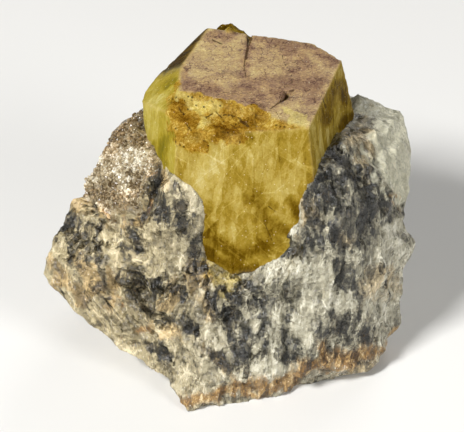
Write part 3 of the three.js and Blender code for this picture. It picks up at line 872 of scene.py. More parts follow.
# %% The crystal's marks, as they are seen from the front
RUST = [
    (6, (176, 104), (184, 122), (182, 138)), (6, (190, 112), (196, 132)),
    (6, (206, 116), (232, 122)), (5, (222, 116), (250, 122)), (5, (178, 140), (190, 146)),
    (6, (200, 130), (214, 138)), (3, (168, 100), (174, 96), (178, 84)), (4, (170, 108), (172, 128)),
]
CREAM = [
    (6, (198, 106), (214, 108)), (4, (190, 102), (200, 112)), (3, (204, 120), (200, 126)),
    (4, (178, 96), (188, 98)), (3, (286, 110), (304, 118)), (4, (292, 121), (304, 124)),
]
PURPLE = [
    (7, (184, 84), (210, 92), (250, 100)), (9, (244, 88), (270, 84), (312, 88)),
    (9, (262, 98), (280, 90)), (9, (300, 70), (318, 84), (310, 96)), (6, (232, 106), (262, 110)),
    (5, (250, 42), (246, 62), (244, 88)), (6, (288, 50), (304, 60)), (5, (206, 36), (232, 36)),
    (4, (186, 70), (182, 88)), (5, (258, 38), (310, 48)), (5, (316, 50), (334, 62)),
]
AMBER = [
    (9, (258, 200), (270, 226), (262, 244)), (6, (270, 222), (284, 232)),
    (5, (206, 208), (208, 236)), (7, (208, 252), (226, 264), (252, 270)),
    (7, (240, 256), (276, 242)), (5, (176, 104), (174, 128), (162, 150)),
    (5, (184, 110), (190, 130)), (5, (204, 122), (236, 128)), (5, (246, 128), (250, 138)),
    (5, (340, 84), (344, 100)), (5, (330, 90), (328, 120)), (5, (184, 138), (196, 150)),
    (3, (154, 144), (166, 164)), (3, (166, 88), (174, 80)), (4, (290, 200), (298, 214)),
    (4, (350, 116), (342, 126)), (5, (216, 240), (232, 252)),
]
PALE = [
    (7, (188, 152), (214, 160)), (9, (282, 136), (300, 150), (294, 180)),
    (9, (254, 132), (270, 160)), (8, (214, 170), (226, 198)), (8, (148, 98), (160, 108), (158, 128)),
    (7, (222, 224), (236, 236)), (7, (288, 108), (304, 118)),
    (7, (312, 118), (316, 140), (314, 160)), (5, (286, 168), (288, 196)),
    (5, (246, 146), (250, 160)), (9, (228, 188), (242, 206)), (6, (196, 168), (204, 186)),
]
DARK = [
    (1.2, (179, 103), (181, 112), (184, 114)), (1.3, (186, 124), (192, 131)), (1.6, (196, 137)),
    (1.2, (206, 118), (212, 114)), (2, (240, 120), (248, 126)), (1.2, (224, 114), (240, 118)),
    (1.1, (177, 146)), (1.1, (204, 130)), (0.9, (216, 112), (222, 118)),
    (0.7, (264, 222), (272, 240)), (0.9, (268, 206), (276, 212)), (1, (322, 96), (326, 108)),
    (2, (252, 36), (248, 46), (246, 58)), (0.9, (247, 48), (244, 66), (246, 78)),
    (1.1, (212, 40), (222, 44)), (0.4, (280, 48), (284, 62), (292, 76), (292, 84)),
    (0.4, (222, 92), (238, 94), (252, 92)), (0.9, (270, 109), (280, 102), (284, 92)),
    (0.5, (276, 112), (282, 122), (286, 128)), (0.8, (230, 124), (238, 130)),
    (0.5, (250, 98), (258, 106), (266, 108)), (1, (284, 92), (294, 90)),
    (0.35, (206, 60), (224, 72), (240, 78)), (0.35, (262, 60), (276, 66), (296, 62)),
    (0.35, (296, 52), (312, 74)),
]
print("marks in each:", [len(marks) for marks in (RUST, CREAM, PURPLE, AMBER, PALE, DARK)])

# %% The crystal's skin in full
CRYSTAL_STEPS = 128
PANELS_RUN = (0.08, 0.09, 1)
# Upright panels, chips and lumps: size in mm, seed, and how much their flats tilt.
PANELS, EDGE_CHIPS, SMALL_CHIPS, KNOB_LUMPS = (1.9, 41, 1.0), (1.3, 42, 1.3), (0.5, 43, 1.1), (1.5, 44, 1.0)
# How high in mm the panels, chips and lumps stand, and how deep the nicks are.
PANEL_HIGH, EDGE_CHIP_HIGH, SMALL_CHIP_HIGH, KNOB_LUMP_HIGH, NICK_DEEP = 0.13, 0.7, 0.3, 0.8, 0.16


def crystal_skin(ways):
    """Plain distance, how broken the skin is there, how much of it is knob, and each face's share."""
    distances = plane_distances(ways)
    whole, _ = soft_least(distances, EDGE_SOFTNESS)
    _, shares = soft_least(distances, BLEND_SOFTNESS)
    ragged = 0.5 * swells(CRYSTAL_MIDDLE + ways * whole[:, None], 1.6, 48, 3)
    bitten = np.minimum(whole, bite_distance(ways) + ragged)
    knob = knob_distance(ways)
    return np.maximum(bitten, knob), eased(whole - bitten, 0.0, 0.12), eased(knob - bitten, 0, 0.1), shares


def crystal_relief(places, broken, knob, shares, edge):
    """How far in mm the skin stands out or in, and the flats' own numbers: upright panels up to a tenth
    deep on the growth faces, coarse chips in the broken zone, lumps on the knobs, nicks along the edges,
    and fine noise."""
    front = shares[:, FACE_NAMES.index("front")]
    panels, panel_flat, _ = chips(drawn_out(places, PANELS_RUN, 4), *PANELS)
    coarse, coarse_flat, _ = chips(places, *EDGE_CHIPS)
    small, _, _ = chips(places, *SMALL_CHIPS)
    lumps, _, _ = chips(places, *KNOB_LUMPS)
    relief = PANEL_HIGH * (1 - broken) * (0.25 + front) * panels
    chipped = broken * (EDGE_CHIP_HIGH * coarse + SMALL_CHIP_HIGH * small)
    relief += chipped + knob * KNOB_LUMP_HIGH * (lumps + 0.1)
    relief -= NICK_DEEP * edge * eased(swell(places, 0.9, 45), 0.2, 0.6)
    relief += 0.015 * swells(places, 0.6, 46, 2) + 0.05 * swell(places, 3.5, 47)
    return relief, panel_flat + broken * (coarse_flat - panel_flat)


print("how broken the skin is towards the first bite:", crystal_skin(at_bite)[1].round(2))

# %% The crystal's finishes and its mesh
# The marks that are laid on the crystal as they are, each with its seed.
ON_CRYSTAL = {"purple": (PURPLE, 600), "amber": (AMBER, 700), "pale": (PALE, 800), "cream": (CREAM, 850)}
ways, faces = ball_grid(CRYSTAL_STEPS, 0.35 * FRONT)
distance, bitten, knob, shares = crystal_skin(ways)
two_least = np.sort(plane_distances(ways), axis=1)[:, :2]
places = CRYSTAL_MIDDLE + ways * distance[:, None]
share_of = dict(zip(FACE_NAMES, shares.T))
facing = eased(ways @ FRONT, -0.6, -0.3)
rusty = near(places, facing, RUST, seed=550)
broken = np.clip(0.7 * np.maximum(bitten, share_of["brokenEdge"]) + rusty, 0, 1)
# The inside of the pit and the notch joins the dark marks on the top: painted shade in these hollows.
hollow = np.maximum(*(eased(depth_inside(places[:, :2], outline), 0.02, 0.2) for outline, _ in (PIT, NOTCH)))
# Nearness to an edge deepens the nicks there; in the colour it makes painted highlights along the edges.
edge = np.exp((two_least[:, 0] - two_least[:, 1]) / 0.15) * (1 - broken)
# The faces behind and the knobs are darker brown: their own brown, and on the faces behind also painted
# shade.
behind = share_of["backBevel"] + share_of["leftBack"] + share_of["backLeftLow"]
skin = {
    "mauve": share_of["top"] * (1 - bitten) * (1 - knob),
    "lemon": share_of["left"] + share_of["leftBevel"] + share_of["leftLow"],
    "brown_and_back_shade": np.clip(behind + 0.5 * knob, 0, 1),
    "broken": broken,
    "edge": edge,
    "dark": np.maximum(near(places, facing, DARK, 900, ragged=0.5, fade=1.3), hollow * share_of["top"]),
}
for name, (marks, seed) in ON_CRYSTAL.items():
    skin[name] = near(places, facing, marks, seed)
relief, skin["flats"] = crystal_relief(places, np.maximum(bitten, 0.6 * broken), knob, shares, edge)
places += ways * relief[:, None]
crystal = mesh_of("rhodizite_block", places, faces, skin)
print("rhodizite_block:", len(crystal.data.polygons), "faces")

# %% [markdown]
# ## Sugary grains
#
# The tan mass on the left is a crust of tiny quartz crystals. One relief can't show grains that overhang
# each other, so over two thousand little blunt-ended crystals stand on the skin there, most of them where
# the mass glitters. They are one mesh, and each has only two dozen corners: a six-sided rod drawn in at
# both ends.

# %% The form of one grain
RING_SIDES = 6
RING_PROFILE = [(-1.0, 0.35), (-0.45, 1.0), (0.55, 0.95), (1.0, 0.3)]


def grain_form():
    """A rod along Z: the corners of each ring lie at its radius, and a face closes each end."""
    angle = np.arange(RING_SIDES) * 2 * math.pi / RING_SIDES
    height, radius = (np.repeat(values, RING_SIDES) for values in np.transpose(RING_PROFILE))
    around = np.tile(angle, len(RING_PROFILE))
    corners = np.stack([radius * np.cos(around), radius * np.sin(around), height], axis=1)
    spot = np.arange(len(corners)).reshape(len(RING_PROFILE), RING_SIDES)
    after = np.roll(spot, -1, axis=1)
    sides = np.stack([spot[:-1], after[:-1], after[1:], spot[1:]], axis=-1).reshape(-1, 4)
    return corners, sides, np.stack([spot[0, ::-1], spot[-1]])


print("corners of a grain:", len(grain_form()[0]))

# %% Grains set on the skin
GRAINS = {
    "most": 3200, "draws": 160000, "towards front": 0.9, "furthest back": 8, "seed": 31,
    "smallest": 0.12, "largest": 0.4, "raised": 0.16,
}


def turned_at_random(random, count):
    """Random turns: three random directions each, made square to one another."""
    first = unit(random.normal(size=(count, 3)))
    second = unit(np.cross(first, random.normal(size=(count, 3))))
    return np.stack([first, second, np.cross(first, second)], axis=1)


def sugar_grains():
    """Grains on the skin: directions are drawn and some are kept by chance, more where the skin is sugary
    and sparkles. Each grain is stretched, turned and set nearly half into the skin, and its tint and the
    stains there go with it."""
    random = np.random.default_rng(GRAINS["seed"])
    drawn = unit(random.normal(size=(GRAINS["draws"], 3)) + GRAINS["towards front"] * FRONT)
    spots, found = dressed_lump(drawn)
    lucky = random.random(len(drawn)) < eased(found["sugar"], 0.35, 1.0) * (0.3 + 0.7 * found["sparkling"])
    kept = np.flatnonzero(lucky & (spots[:, 1] < GRAINS["furthest back"]))[: GRAINS["most"]]
    few_large = 2.6 - 1.6 * found["tan"][kept]
    spread = GRAINS["largest"] - GRAINS["smallest"]
    size = GRAINS["smallest"] + spread * random.random(len(kept)) ** few_large
    corners, sides, ends = grain_form()
    longer = np.stack([np.ones(len(kept)), np.ones(len(kept)), 1 + random.random(len(kept))], axis=1)
    stretched = corners[None] * (0.5 * size[:, None] * longer)[:, None]
    turned = np.einsum("gcx,gxy->gcy", stretched, turned_at_random(random, len(kept)))
    centres = spots[kept] + drawn[kept] * (GRAINS["raised"] * size)[:, None]
    first = len(corners) * np.arange(len(kept))[:, None, None]
    faces = [face for part in (sides, ends) for face in (part + first).reshape(-1, part.shape[1]).tolist()]
    stains = {name: found[name][kept] for name in ("iron", "sparkling", "tan")}
    tints = {"tint": random.random(len(kept)), **stains}
    tints = {name: np.repeat(values, len(corners)) for name, values in tints.items()}
    return len(kept), (turned + centres[:, None]).reshape(-1, 3), faces, tints


grain_count, grain_places, grain_faces, tints = sugar_grains()
grains = mesh_of("sugar_grains", grain_places, grain_faces, tints)
grains.data.polygons.foreach_set("use_smooth", np.zeros(len(grains.data.polygons), bool))
print("sugar_grains:", grain_count, "grains,", len(grains.data.polygons), "faces")

# %% [markdown]
# ## Building materials from nodes
#
# Each finish is worked out by nodes from the place on the object, in millimetres, and from the values on
# the mesh's corners. A few short helpers keep that readable: one adds a node and fills its sockets, and the
# others are the steps that come again and again, such as mixing two colours or easing a value between two
# limits.

# %% Helpers for nodes
def fill(tree, made, values):
    """Sockets filled by name or number: a value that comes from another node is linked, and any other is
    set."""
    for name, value in values.items():
        if isinstance(value, bpy.types.NodeSocket):
            tree.links.new(value, made.inputs[name])
        else:
            made.inputs[name].default_value = value
    return made


def node(tree, kind, values=None, **settings):
    """A node of that kind with its own settings, and its sockets filled."""
    made = tree.nodes.new("ShaderNode" + kind)
    for name, value in settings.items():
        setattr(made, name, value)
    return fill(tree, made, values or {})


def maths(tree, kind, first, second, held=False):
    """One step of arithmetic, such as ADD or DIVIDE, which can be held between 0 and 1."""
    return node(tree, "Math", {0: first, 1: second}, operation=kind, use_clamp=held).outputs[0]


def times(tree, value, weight):
    """A value times a weight, held between 0 and 1."""
    return maths(tree, "MULTIPLY", value, weight, held=True)


def arrows(tree, kind, first, second):
    """One step with places or directions, such as ADD, SCALE or DOT_PRODUCT."""
    made = node(tree, "VectorMath", {0: first, "Scale" if kind == "SCALE" else 1: second}, operation=kind)
    return made.outputs["Value" if kind == "DOT_PRODUCT" else "Vector"]


def ease(tree, value, low, high):
    """The value eased from 0 at low to 1 at high."""
    limits = {"Value": value, "From Min": low, "From Max": high}
    return node(tree, "MapRange", limits, interpolation_type="SMOOTHSTEP").outputs["Result"]


def between(tree, value, low, high):
    """A value from 0 to 1 turned into one from low to high."""
    return node(tree, "MapRange", {"Value": value, "To Min": low, "To Max": high}).outputs["Result"]


def cloud(tree, place, size, detail=4.0, roughness=0.6, distortion=0.0):
    """Smooth noise with lumps about `size` millimetres across: finer layers come with more detail."""
    values = {"Vector": place, "Scale": 1 / size, "Detail": detail, "Roughness": roughness}
    return node(tree, "TexNoise", {**values, "Distortion": distortion}).outputs["Fac"]


def on_skin(tree, name):
    """A value that was put on the mesh's corners."""
    return node(tree, "Attribute", attribute_name=name).outputs["Fac"]


def weighed(tree, start, weights, patterns):
    """The start, plus every pattern times its weight. A name that isn't a pattern's is that of a value on
    the skin."""
    for name, weight in weights.items():
        value = patterns[name] if name in patterns else on_skin(tree, name)
        start = node(tree, "Math", {0: value, 1: weight, 2: start}, operation="MULTIPLY_ADD").outputs[0]
    return start


# %% Helpers for colours
def screen(red, green, blue):
    """A colour as it looks on a screen, 0 to 255, turned into the light it stands for."""
    values = np.array([red, green, blue]) / 255
    light = np.where(values <= 0.04045, values / 12.92, ((values + 0.055) / 1.055) ** 2.4)
    return (*light.tolist(), 1.0)


def mixed(tree, share, first, second, kind="MIX"):
    """Two colours blended by a share. The colour sockets of a Mix node are 6, 7 and, going out, 2, because
    its sockets share their names."""
    return node(tree, "Mix", {0: share, 6: first, 7: second}, data_type="RGBA", blend_type=kind).outputs[2]


def laid_over(tree, colour, share, weight, upper):
    """A colour with another one over it, as far as the share times the weight says."""
    return mixed(tree, times(tree, share, weight), colour, upper)


def tinted(tree, colour, red, green, blue):
    """A colour seen through a tint."""
    return mixed(tree, 1.0, colour, screen(red, green, blue), "MULTIPLY")


def shades(tree, tone, steps):
    """A colour for each tone, from a list of tones and screen colours, blended between them."""
    made = node(tree, "ValToRGB", {0: tone})
    stops = made.color_ramp.elements
    for number, (at, colour) in enumerate(steps):
        stop = stops[number] if number < len(stops) else stops.new(at)
        stop.position, stop.color = at, screen(*colour)
    return made.outputs["Color"]


print("a middle grey on the screen, 128, stands for", round(screen(128, 128, 128)[0], 3), "of full light")

# %% [markdown]
# ## Effects that several finishes share
#
# Four effects appear on several finishes, so each is a node group with its own inputs. `Ragged patch` turns
# a soft value from the mesh into a patch with a crumbling border. `Crackle` draws the thin lines of healed
# breaks, where the borders of warped cells run. One group scatters small spots: laid on dark they are real
# specks, and laid on pale they are painted glints, colour that stands for light caught by the skin.
# `Facets` covers the skin with tiny flats that each lean their own way.

# %% What every group starts with
def new_group(name, inputs, outputs):
    """A node group with its ends: it takes a place and numbers with their first values, and gives numbers.
    Every group has a size in millimetres, so how many go into one millimetre comes with it."""
    tree = bpy.data.node_groups.new(name, "ShaderNodeTree")
    for socket_name, value in {"Place": None, **inputs}.items():
        kind = "NodeSocketVector" if value is None else "NodeSocketFloat"
        socket = tree.interface.new_socket(socket_name, in_out="INPUT", socket_type=kind)
        if value is not None:
            socket.default_value = value
    for socket_name in outputs:
        tree.interface.new_socket(socket_name, in_out="OUTPUT", socket_type="NodeSocketFloat")
    given = tree.nodes.new("NodeGroupInput").outputs
    per_mm = maths(tree, "DIVIDE", 1.0, given["Size"])
    return tree, given, tree.nodes.new("NodeGroupOutput").inputs, per_mm


def warped_place(tree, given, per_mm, detail):
    """The place pushed about by noise with lumps as large as the cells, as far as the group's warp says."""
    values = {"Vector": given["Place"], "Scale": per_mm, "Detail": detail}
    centred = arrows(tree, "SUBTRACT", node(tree, "TexNoise", values).outputs["Color"], (0.5, 0.5, 0.5))
    return arrows(tree, "ADD", given["Place"], arrows(tree, "SCALE", centred, given["Warp"]))


def cell_colour(tree, cells, channel):
    """One channel of the random colour that each cell has."""
    return node(tree, "SeparateColor", {0: cells["Color"]}).outputs[channel]


# %% Ragged patches and crackle
def ragged_patch_group():
    """Amount plus crumbling noise, eased round one half."""
    inputs = {"Amount": 0.5, "Size": 1.0, "Crumble": 0.6}
    tree, given, result, per_mm = new_group("Ragged patch", inputs, ["Patch"])
    values = {"Vector": given["Place"], "Scale": per_mm, "Detail": 5.0, "Roughness": 0.65}
    centred = maths(tree, "SUBTRACT", node(tree, "TexNoise", values).outputs["Fac"], 0.5)
    amount = maths(tree, "ADD", maths(tree, "MULTIPLY", centred, given["Crumble"]), given["Amount"])
    tree.links.new(ease(tree, amount, 0.25, 0.75), result["Patch"])
    return tree


def crackle_group():
    """Lines where the distance to the border between warped cells is under the width, broken up by
    noise."""
    inputs = {"Size": 1.0, "Width": 0.03, "Warp": 0.5}
    tree, given, result, per_mm = new_group("Crackle", inputs, ["Line", "Flake"])
    cells = {"Vector": warped_place(tree, given, per_mm, 3.0), "Scale": per_mm}
    border = node(tree, "TexVoronoi", cells, feature="DISTANCE_TO_EDGE").outputs["Distance"]
    near_border = node(tree, "MapRange", {"Value": border, "From Min": given["Width"], "From Max": 0.0})
    broken_up = ease(tree, cloud(tree, given["Place"], 1.3, 2.0), 0.42, 0.6)
    tree.links.new(times(tree, near_border.outputs["Result"], broken_up), result["Line"])
    tree.links.new(cell_colour(tree, node(tree, "TexVoronoi", cells).outputs, 0), result["Flake"])
    return tree


# %% Spots for specks and painted glints, and facets
# These spots serve for real dark specks and for painted glints, pale spots that stand for highlights.
def specks_and_painted_glints_group():
    """Spots: cells whose random value is above one minus the share, near their middle."""
    tree, given, result, per_mm = new_group("Specks and painted glints", {"Size": 0.3, "Share": 0.1}, ["Spot"])
    cells = node(tree, "TexVoronoi", {"Vector": given["Place"], "Scale": per_mm}).outputs
    least = maths(tree, "SUBTRACT", 1.0, given["Share"])
    lucky = maths(tree, "GREATER_THAN", cell_colour(tree, cells, 0), least)
    tree.links.new(times(tree, lucky, ease(tree, cells["Distance"], 0.42, 0.2)), result["Spot"])
    return tree


def facets_group():
    """Small flats, each tilted its own way: the height is the place's offset from the middle of its cell,
    taken along a direction that the cell's random colour gives, so it is a plane within each cell."""
    tree, given, result, per_mm = new_group("Facets", {"Size": 0.5, "Warp": 0.3}, ["Height", "Flake"])
    warped = warped_place(tree, given, per_mm, 2.0)
    cells = node(tree, "TexVoronoi", {"Vector": warped, "Scale": per_mm}).outputs
    lean = arrows(tree, "SUBTRACT", cells["Color"], (0.5, 0.5, 0.5))
    offset = arrows(tree, "SUBTRACT", warped, cells["Position"])
    tree.links.new(arrows(tree, "DOT_PRODUCT", offset, lean), result["Height"])
    tree.links.new(cell_colour(tree, cells, 1), result["Flake"])
    return tree


RAGGED_PATCH, CRACKLE, SPECKS_AND_PAINTED_GLINTS, FACETS = ragged_patch_group(), crackle_group(), specks_and_painted_glints_group(), facets_group()
print("groups:", [tree.name for tree in (RAGGED_PATCH, CRACKLE, SPECKS_AND_PAINTED_GLINTS, FACETS)])

# %% Placing a group, and starting a material
def placed(tree, group, **values):
    """The group's outputs, with its inputs filled or linked."""
    made = tree.nodes.new("ShaderNodeGroup")
    made.node_tree = group
    return fill(tree, made, values).outputs


def new_material(name):
    """A material with one Principled shader, and the place on the object in millimetres."""
    material = bpy.data.materials.new(name)
    material.use_nodes = True
    tree = material.node_tree
    place = arrows(tree, "SCALE", node(tree, "TexCoord").outputs["Object"], 1 / MM)
    return material, tree, tree.nodes["Principled BSDF"], place


def drawn_along(tree, place, along, stretch):
    """The place squeezed along a direction, as drawn_out does, so that a pattern read there is longer that
    way."""
    way = tuple(unit(np.array(along, float)).tolist())
    back = maths(tree, "MULTIPLY", arrows(tree, "DOT_PRODUCT", place, way), 1 / stretch - 1)
    return arrows(tree, "ADD", place, arrows(tree, "SCALE", way, back))


def patch(tree, place, name, size, crumble):
    """A ragged patch where the skin carries that value."""
    values = {"Place": place, "Amount": on_skin(tree, name), "Size": size, "Crumble": crumble}
    return placed(tree, RAGGED_PATCH, **values)["Patch"]


def bumped(tree, shader, layers):
    """Patterns with their heights in millimetres and strengths, laid over one another as the shader's
    normal."""
    below = {}
    for pattern, height, strength in layers:
        values = {"Height": pattern, "Distance": height * MM, "Strength": strength, **below}
        below = {"Normal": node(tree, "Bump", values).outputs["Normal"]}
    fill(tree, shader, below)


# %% [markdown]
# ## Smoky quartz
#
# Broken quartz runs from near black, where it is clear and smoky, to white, where it is full of healed
# breaks. So one tone decides its colour. Broad clouds, bands, streaks, wisps and fine noise are added up
# with the numbers of the chipped flats, the ridges between them and the lines of healed breaks; the ridge
# number is painted light and shade, lighter where the chips stand out and darker in their scoops. Milky
# parts raise the sum, smoky ones lower it, and a row of shades turns it into colour. The streaks and flakes
# also split the milky and smoky patches into blades, as the breaks in the stone do. Tan, the sugary crust,
# the pale rim, iron stain and the greenish corner lie over that, and painted glints, pale spots that stand
# for highlights, go over the lighter tones. Small flats that lean differently give the sparkle of a broken
# surface.

# %% The quartz's shades and weights
QUARTZ_SHADES = [
    (0.0, (26, 26, 22)), (0.22, (64, 62, 53)), (0.42, (112, 108, 92)), (0.6, (152, 147, 126)),
    (0.78, (190, 185, 163)), (1.0, (230, 226, 209)),
]
IRON_SHADES = [
    (0.0, (48, 32, 14)), (0.35, (96, 68, 32)), (0.6, (140, 104, 54)), (0.8, (186, 154, 100)),
    (1.0, (228, 210, 170)),
]
SUGAR_SHADES = [(0.0, (88, 74, 50)), (0.4, (146, 130, 100)), (0.7, (188, 174, 144)), (1.0, (240, 234, 216))]
CRUST_SHADES = [(172, 168, 138), (246, 243, 220)]
SPLIT = {"flake": 0.5, "streaks": 0.6, "small flake": 0.25, "broad": 0.7}
# In the tone the ridge weight is painted light and shade: lighter where the chips stand out, darker in their
# scoops.
QUARTZ_TONE = {
    "broad": 0.25, "bands": 0.25, "streaks": 0.35, "fine": 0.35, "wisps": 0.12, "flake": 0.18,
    "small flake": 0.14, "crackle": 0.3, "small crackle": 0.16, "flats": 0.44, "ridge_light_and_scoop_shade": 0.22,
    "milky patch": 0.15, "smoky patch": -0.28, "smoke": -0.24,
}
SUGAR_TONE = {"fine": 1.8, "broad": 0.5, "flake": 0.2, "sparkling": 0.5}
IRON_TONE = {"streaks": 2.2, "fine": 1.4, "flake": 0.5}
QUARTZ_BODY = {"Subsurface Radius": (1.0, 0.95, 0.85), "Subsurface Scale": 0.3 * MM, "IOR": 1.54}
print("the quartz's tone is made of:", ", ".join(QUARTZ_TONE))

# %% The quartz's patterns
def feathers(tree, drawn, size):
    """Ridged noise, warped: bright along its crests."""
    values = {"Vector": drawn, "Scale": 1 / size, "Detail": 8.0, "Roughness": 0.66, "Distortion": 1.1}
    return node(tree, "TexNoise", values, noise_type="RIDGED_MULTIFRACTAL", normalize=True).outputs["Fac"]


def quartz_patterns(tree, place):
    """The patterns by name. Those that follow how the quartz grew are drawn out along the flutes, upright
    or slanting as the skin says."""
    up, slant = drawn_along(tree, place, UPRIGHT, 3.4), drawn_along(tree, place, SLANTING, 3.0)
    drawn = node(tree, "Mix", {0: on_skin(tree, "slanting"), 4: up, 5: slant}, data_type="VECTOR").outputs[1]
    facets = placed(tree, FACETS, Place=drawn, Size=0.7, Warp=0.5)
    small_facets = placed(tree, FACETS, Place=place, Size=0.35, Warp=0.15)
    seen = {
        "broad": cloud(tree, place, 2.6, 4.0, 0.55),
        "bands": cloud(tree, drawn, 1.3, 3.0, 0.6, 0.5),
        "streaks": cloud(tree, drawn, 0.5, 6.0, 0.7, 0.8),
        "fine": cloud(tree, place, 0.22, 4.0, 0.8),
        "wisps": ease(tree, feathers(tree, drawn, 1.1), 0.15, 0.75),
        "crackle": placed(tree, CRACKLE, Place=drawn, Size=1.1, Width=0.06, Warp=1.0)["Line"],
        "small crackle": placed(tree, CRACKLE, Place=drawn, Size=0.5, Width=0.08, Warp=0.5)["Line"],
        "flake": facets["Flake"],
        "small flake": small_facets["Flake"],
        "lean": facets["Height"],
        "small lean": small_facets["Height"],
    }
    seen["split"] = weighed(tree, -1.03, SPLIT, seen)
    seen["milky patch"] = ease(tree, weighed(tree, 0.0, {"milky": 1.0, "split": 0.9}, seen), 0.1, 0.9)
    seen["smoky patch"] = ease(tree, weighed(tree, 0.0, {"smoke": 1.0, "split": -0.9}, seen), 0.2, 0.8)
    return seen


# %% The quartz's material
def quartz_material():
    """The tone's shade, with the warm, tan, sugary, crusty, rusty and greenish parts laid over it, and
    painted glints, pale spots that stand for highlights, on its lighter tones."""
    material, tree, shader, place = new_material("smoky quartz")
    seen = quartz_patterns(tree, place)
    tone = weighed(tree, -0.46, QUARTZ_TONE, seen)
    colour = shades(tree, tone, QUARTZ_SHADES)
    colour = mixed(tree, on_skin(tree, "warm"), colour, tinted(tree, colour, 255, 243, 218))
    tan = patch(tree, place, "tan", 1.0, 1.0)
    colour = laid_over(tree, colour, tan, 0.5, tinted(tree, colour, 255, 222, 166))
    sugary = shades(tree, weighed(tree, -0.95, SUGAR_TONE, seen), SUGAR_SHADES)
    colour = laid_over(tree, colour, patch(tree, place, "sugar", 0.8, 0.8), 0.85, sugary)
    crust_tone = ease(tree, weighed(tree, 0.0, {"fine": 0.5, "streaks": 0.5}, seen), 0.3, 0.7)
    crusty = mixed(tree, crust_tone, *(screen(*shade) for shade in CRUST_SHADES))
    colour = laid_over(tree, colour, patch(tree, place, "crust", 1.6, 1.2), 0.72, crusty)
    iron = ease(tree, weighed(tree, -1.2, {"iron": 0.9, "streaks": 1.4, "fine": 1.0}, seen), 0.0, 1.1)
    rust = shades(tree, weighed(tree, -1.55, IRON_TONE, seen), IRON_SHADES)
    rusty = mixed(tree, 0.85, tinted(tree, colour, 255, 218, 160), rust)
    colour = laid_over(tree, colour, iron, 1.1, rusty)
    greenish = patch(tree, place, "greenish", 0.8, 0.8)
    colour = laid_over(tree, colour, greenish, 0.9, tinted(tree, colour, 255, 240, 170))
    # Painted glints: pale spots in the colour that stand for highlights, kept to the lighter tones.
    painted_glints = placed(tree, SPECKS_AND_PAINTED_GLINTS, Place=place, Size=0.22, Share=0.07)["Spot"]
    painted_glint_share = times(tree, painted_glints, ease(tree, tone, 0.2, 0.7))
    colour = laid_over(tree, colour, painted_glint_share, 0.6, screen(246, 242, 228))

    gloss = between(tree, seen["small flake"], 0.08, 0.42)
    dull = maths(tree, "ADD", gloss, times(tree, iron, 0.25), held=True)
    surface = {"Base Color": colour, "Roughness": dull, "Specular IOR Level": 0.5, "Subsurface Weight": 0.1}
    fill(tree, shader, {**surface, **QUARTZ_BODY})
    leans = [(seen["lean"], 1.0, 0.75), (seen["streaks"], 0.2, 0.4), (seen["small lean"], 1.0, 0.5)]
    bumped(tree, shader, [*leans, (seen["fine"], 0.1, 0.6)])
    return material


lump.data.materials.append(quartz_material())
print("quartz nodes:", len(lump.data.materials[0].node_tree.nodes))

# %% [markdown]
# ## Grains of sugar quartz
#
# The little crystals are the same quartz without its veils: each one has a tint of its own between clear
# tan and white, with glassy faces. Iron and tan stain reach them as they do the skin below.

# %% The grains' material
GRAIN_TONE = {"fine": 0.9, "broad": 1.0, "tint": 0.8, "sparkling": 0.6, "tan": -0.1}


def grain_material():
    """The tone's shade, tinted where the iron and tan are."""
    material, tree, shader, place = new_material("sugar quartz")
    seen = {"fine": cloud(tree, place, 0.25, 3.0, 0.7), "broad": cloud(tree, place, 2.2, 3.0, 0.6)}
    colour = shades(tree, weighed(tree, -1.08, GRAIN_TONE, seen), SUGAR_SHADES)
    stain = maths(tree, "ADD", on_skin(tree, "iron"), times(tree, on_skin(tree, "tan"), 0.5), held=True)
    colour = laid_over(tree, colour, stain, 0.7, tinted(tree, colour, 255, 212, 150))
    surface = {"Base Color": colour, "Roughness": between(tree, seen["fine"], 0.08, 0.35)}
    fill(tree, shader, {**surface, "Subsurface Weight": 0.3, **QUARTZ_BODY})
    bumped(tree, shader, [(seen["fine"], 0.05, 0.5)])
    return material


grains.data.materials.append(grain_material())
print("grain nodes:", len(grains.data.materials[0].node_tree.nodes))

# %% [markdown]
# ## Rhodizite
#
# The crystal is cloudy yellow right through, so light spreads inside it: that is what subsurface scattering
# is for. Its tone runs from dark amber to pale straw, and is worked out as the quartz's is. Long straight
# breaks inside show as thin bright lines. The top has a mauve skin with khaki clouds and a fine dark
# crackle, and the broken front edge is rusty, with cream where it is worn and many dark specks.

# %% The crystal's shades and weights
YELLOW_SHADES = [
    (0.0, (48, 32, 2)), (0.25, (98, 74, 10)), (0.5, (142, 118, 38)), (0.72, (172, 152, 80)),
    (1.0, (202, 190, 138)),
]
TOP_SHADES = [
    (0.0, (88, 66, 56)), (0.3, (136, 112, 88)), (0.55, (168, 144, 104)), (0.8, (188, 168, 116)),
    (1.0, (208, 194, 144)),
]
RUST_SHADES = [
    (0.0, (44, 24, 2)), (0.3, (100, 64, 10)), (0.55, (142, 104, 28)), (0.8, (178, 146, 60)),
    (1.0, (214, 196, 126)),
]
CREAM_SHADES = [(0.0, (140, 120, 40)), (0.5, (196, 180, 100)), (1.0, (236, 228, 176))]
# The brown weight darkens the knobs and the faces behind: their own brown, with painted shade on the faces
# behind.
YELLOW_TONE = {
    "broad": 0.3, "grain": 0.3, "fine": 0.4, "flats": 0.24, "pale": 0.08, "flake": 0.14, "amber": -0.32,
    "lemon": 0.02, "brown_and_back_shade": -0.5,
}
# On the top the edge weight is a painted highlight along the edges.
TOP_TONE = {
    "broad": 1.1, "grain": 0.5, "fine": 1.3, "crackle": -0.5, "small crackle": -0.25, "crackle flake": 0.1,
    "purple": -0.2, "edge": 0.1,
}
# Three sets of straight breaks inside: how the set is turned, its spacing in mm, and its weight.
SLANTS = [((0.0, 0.9, 0.2), 1.5, 0.14), ((0.0, -0.7, 0.1), 2.0, 0.14), ((0.0, 1.45, 0.0), 1.2, 0.12)]
print("the yellow's tone is made of:", ", ".join(YELLOW_TONE), "and", len(SLANTS), "sets of breaks")

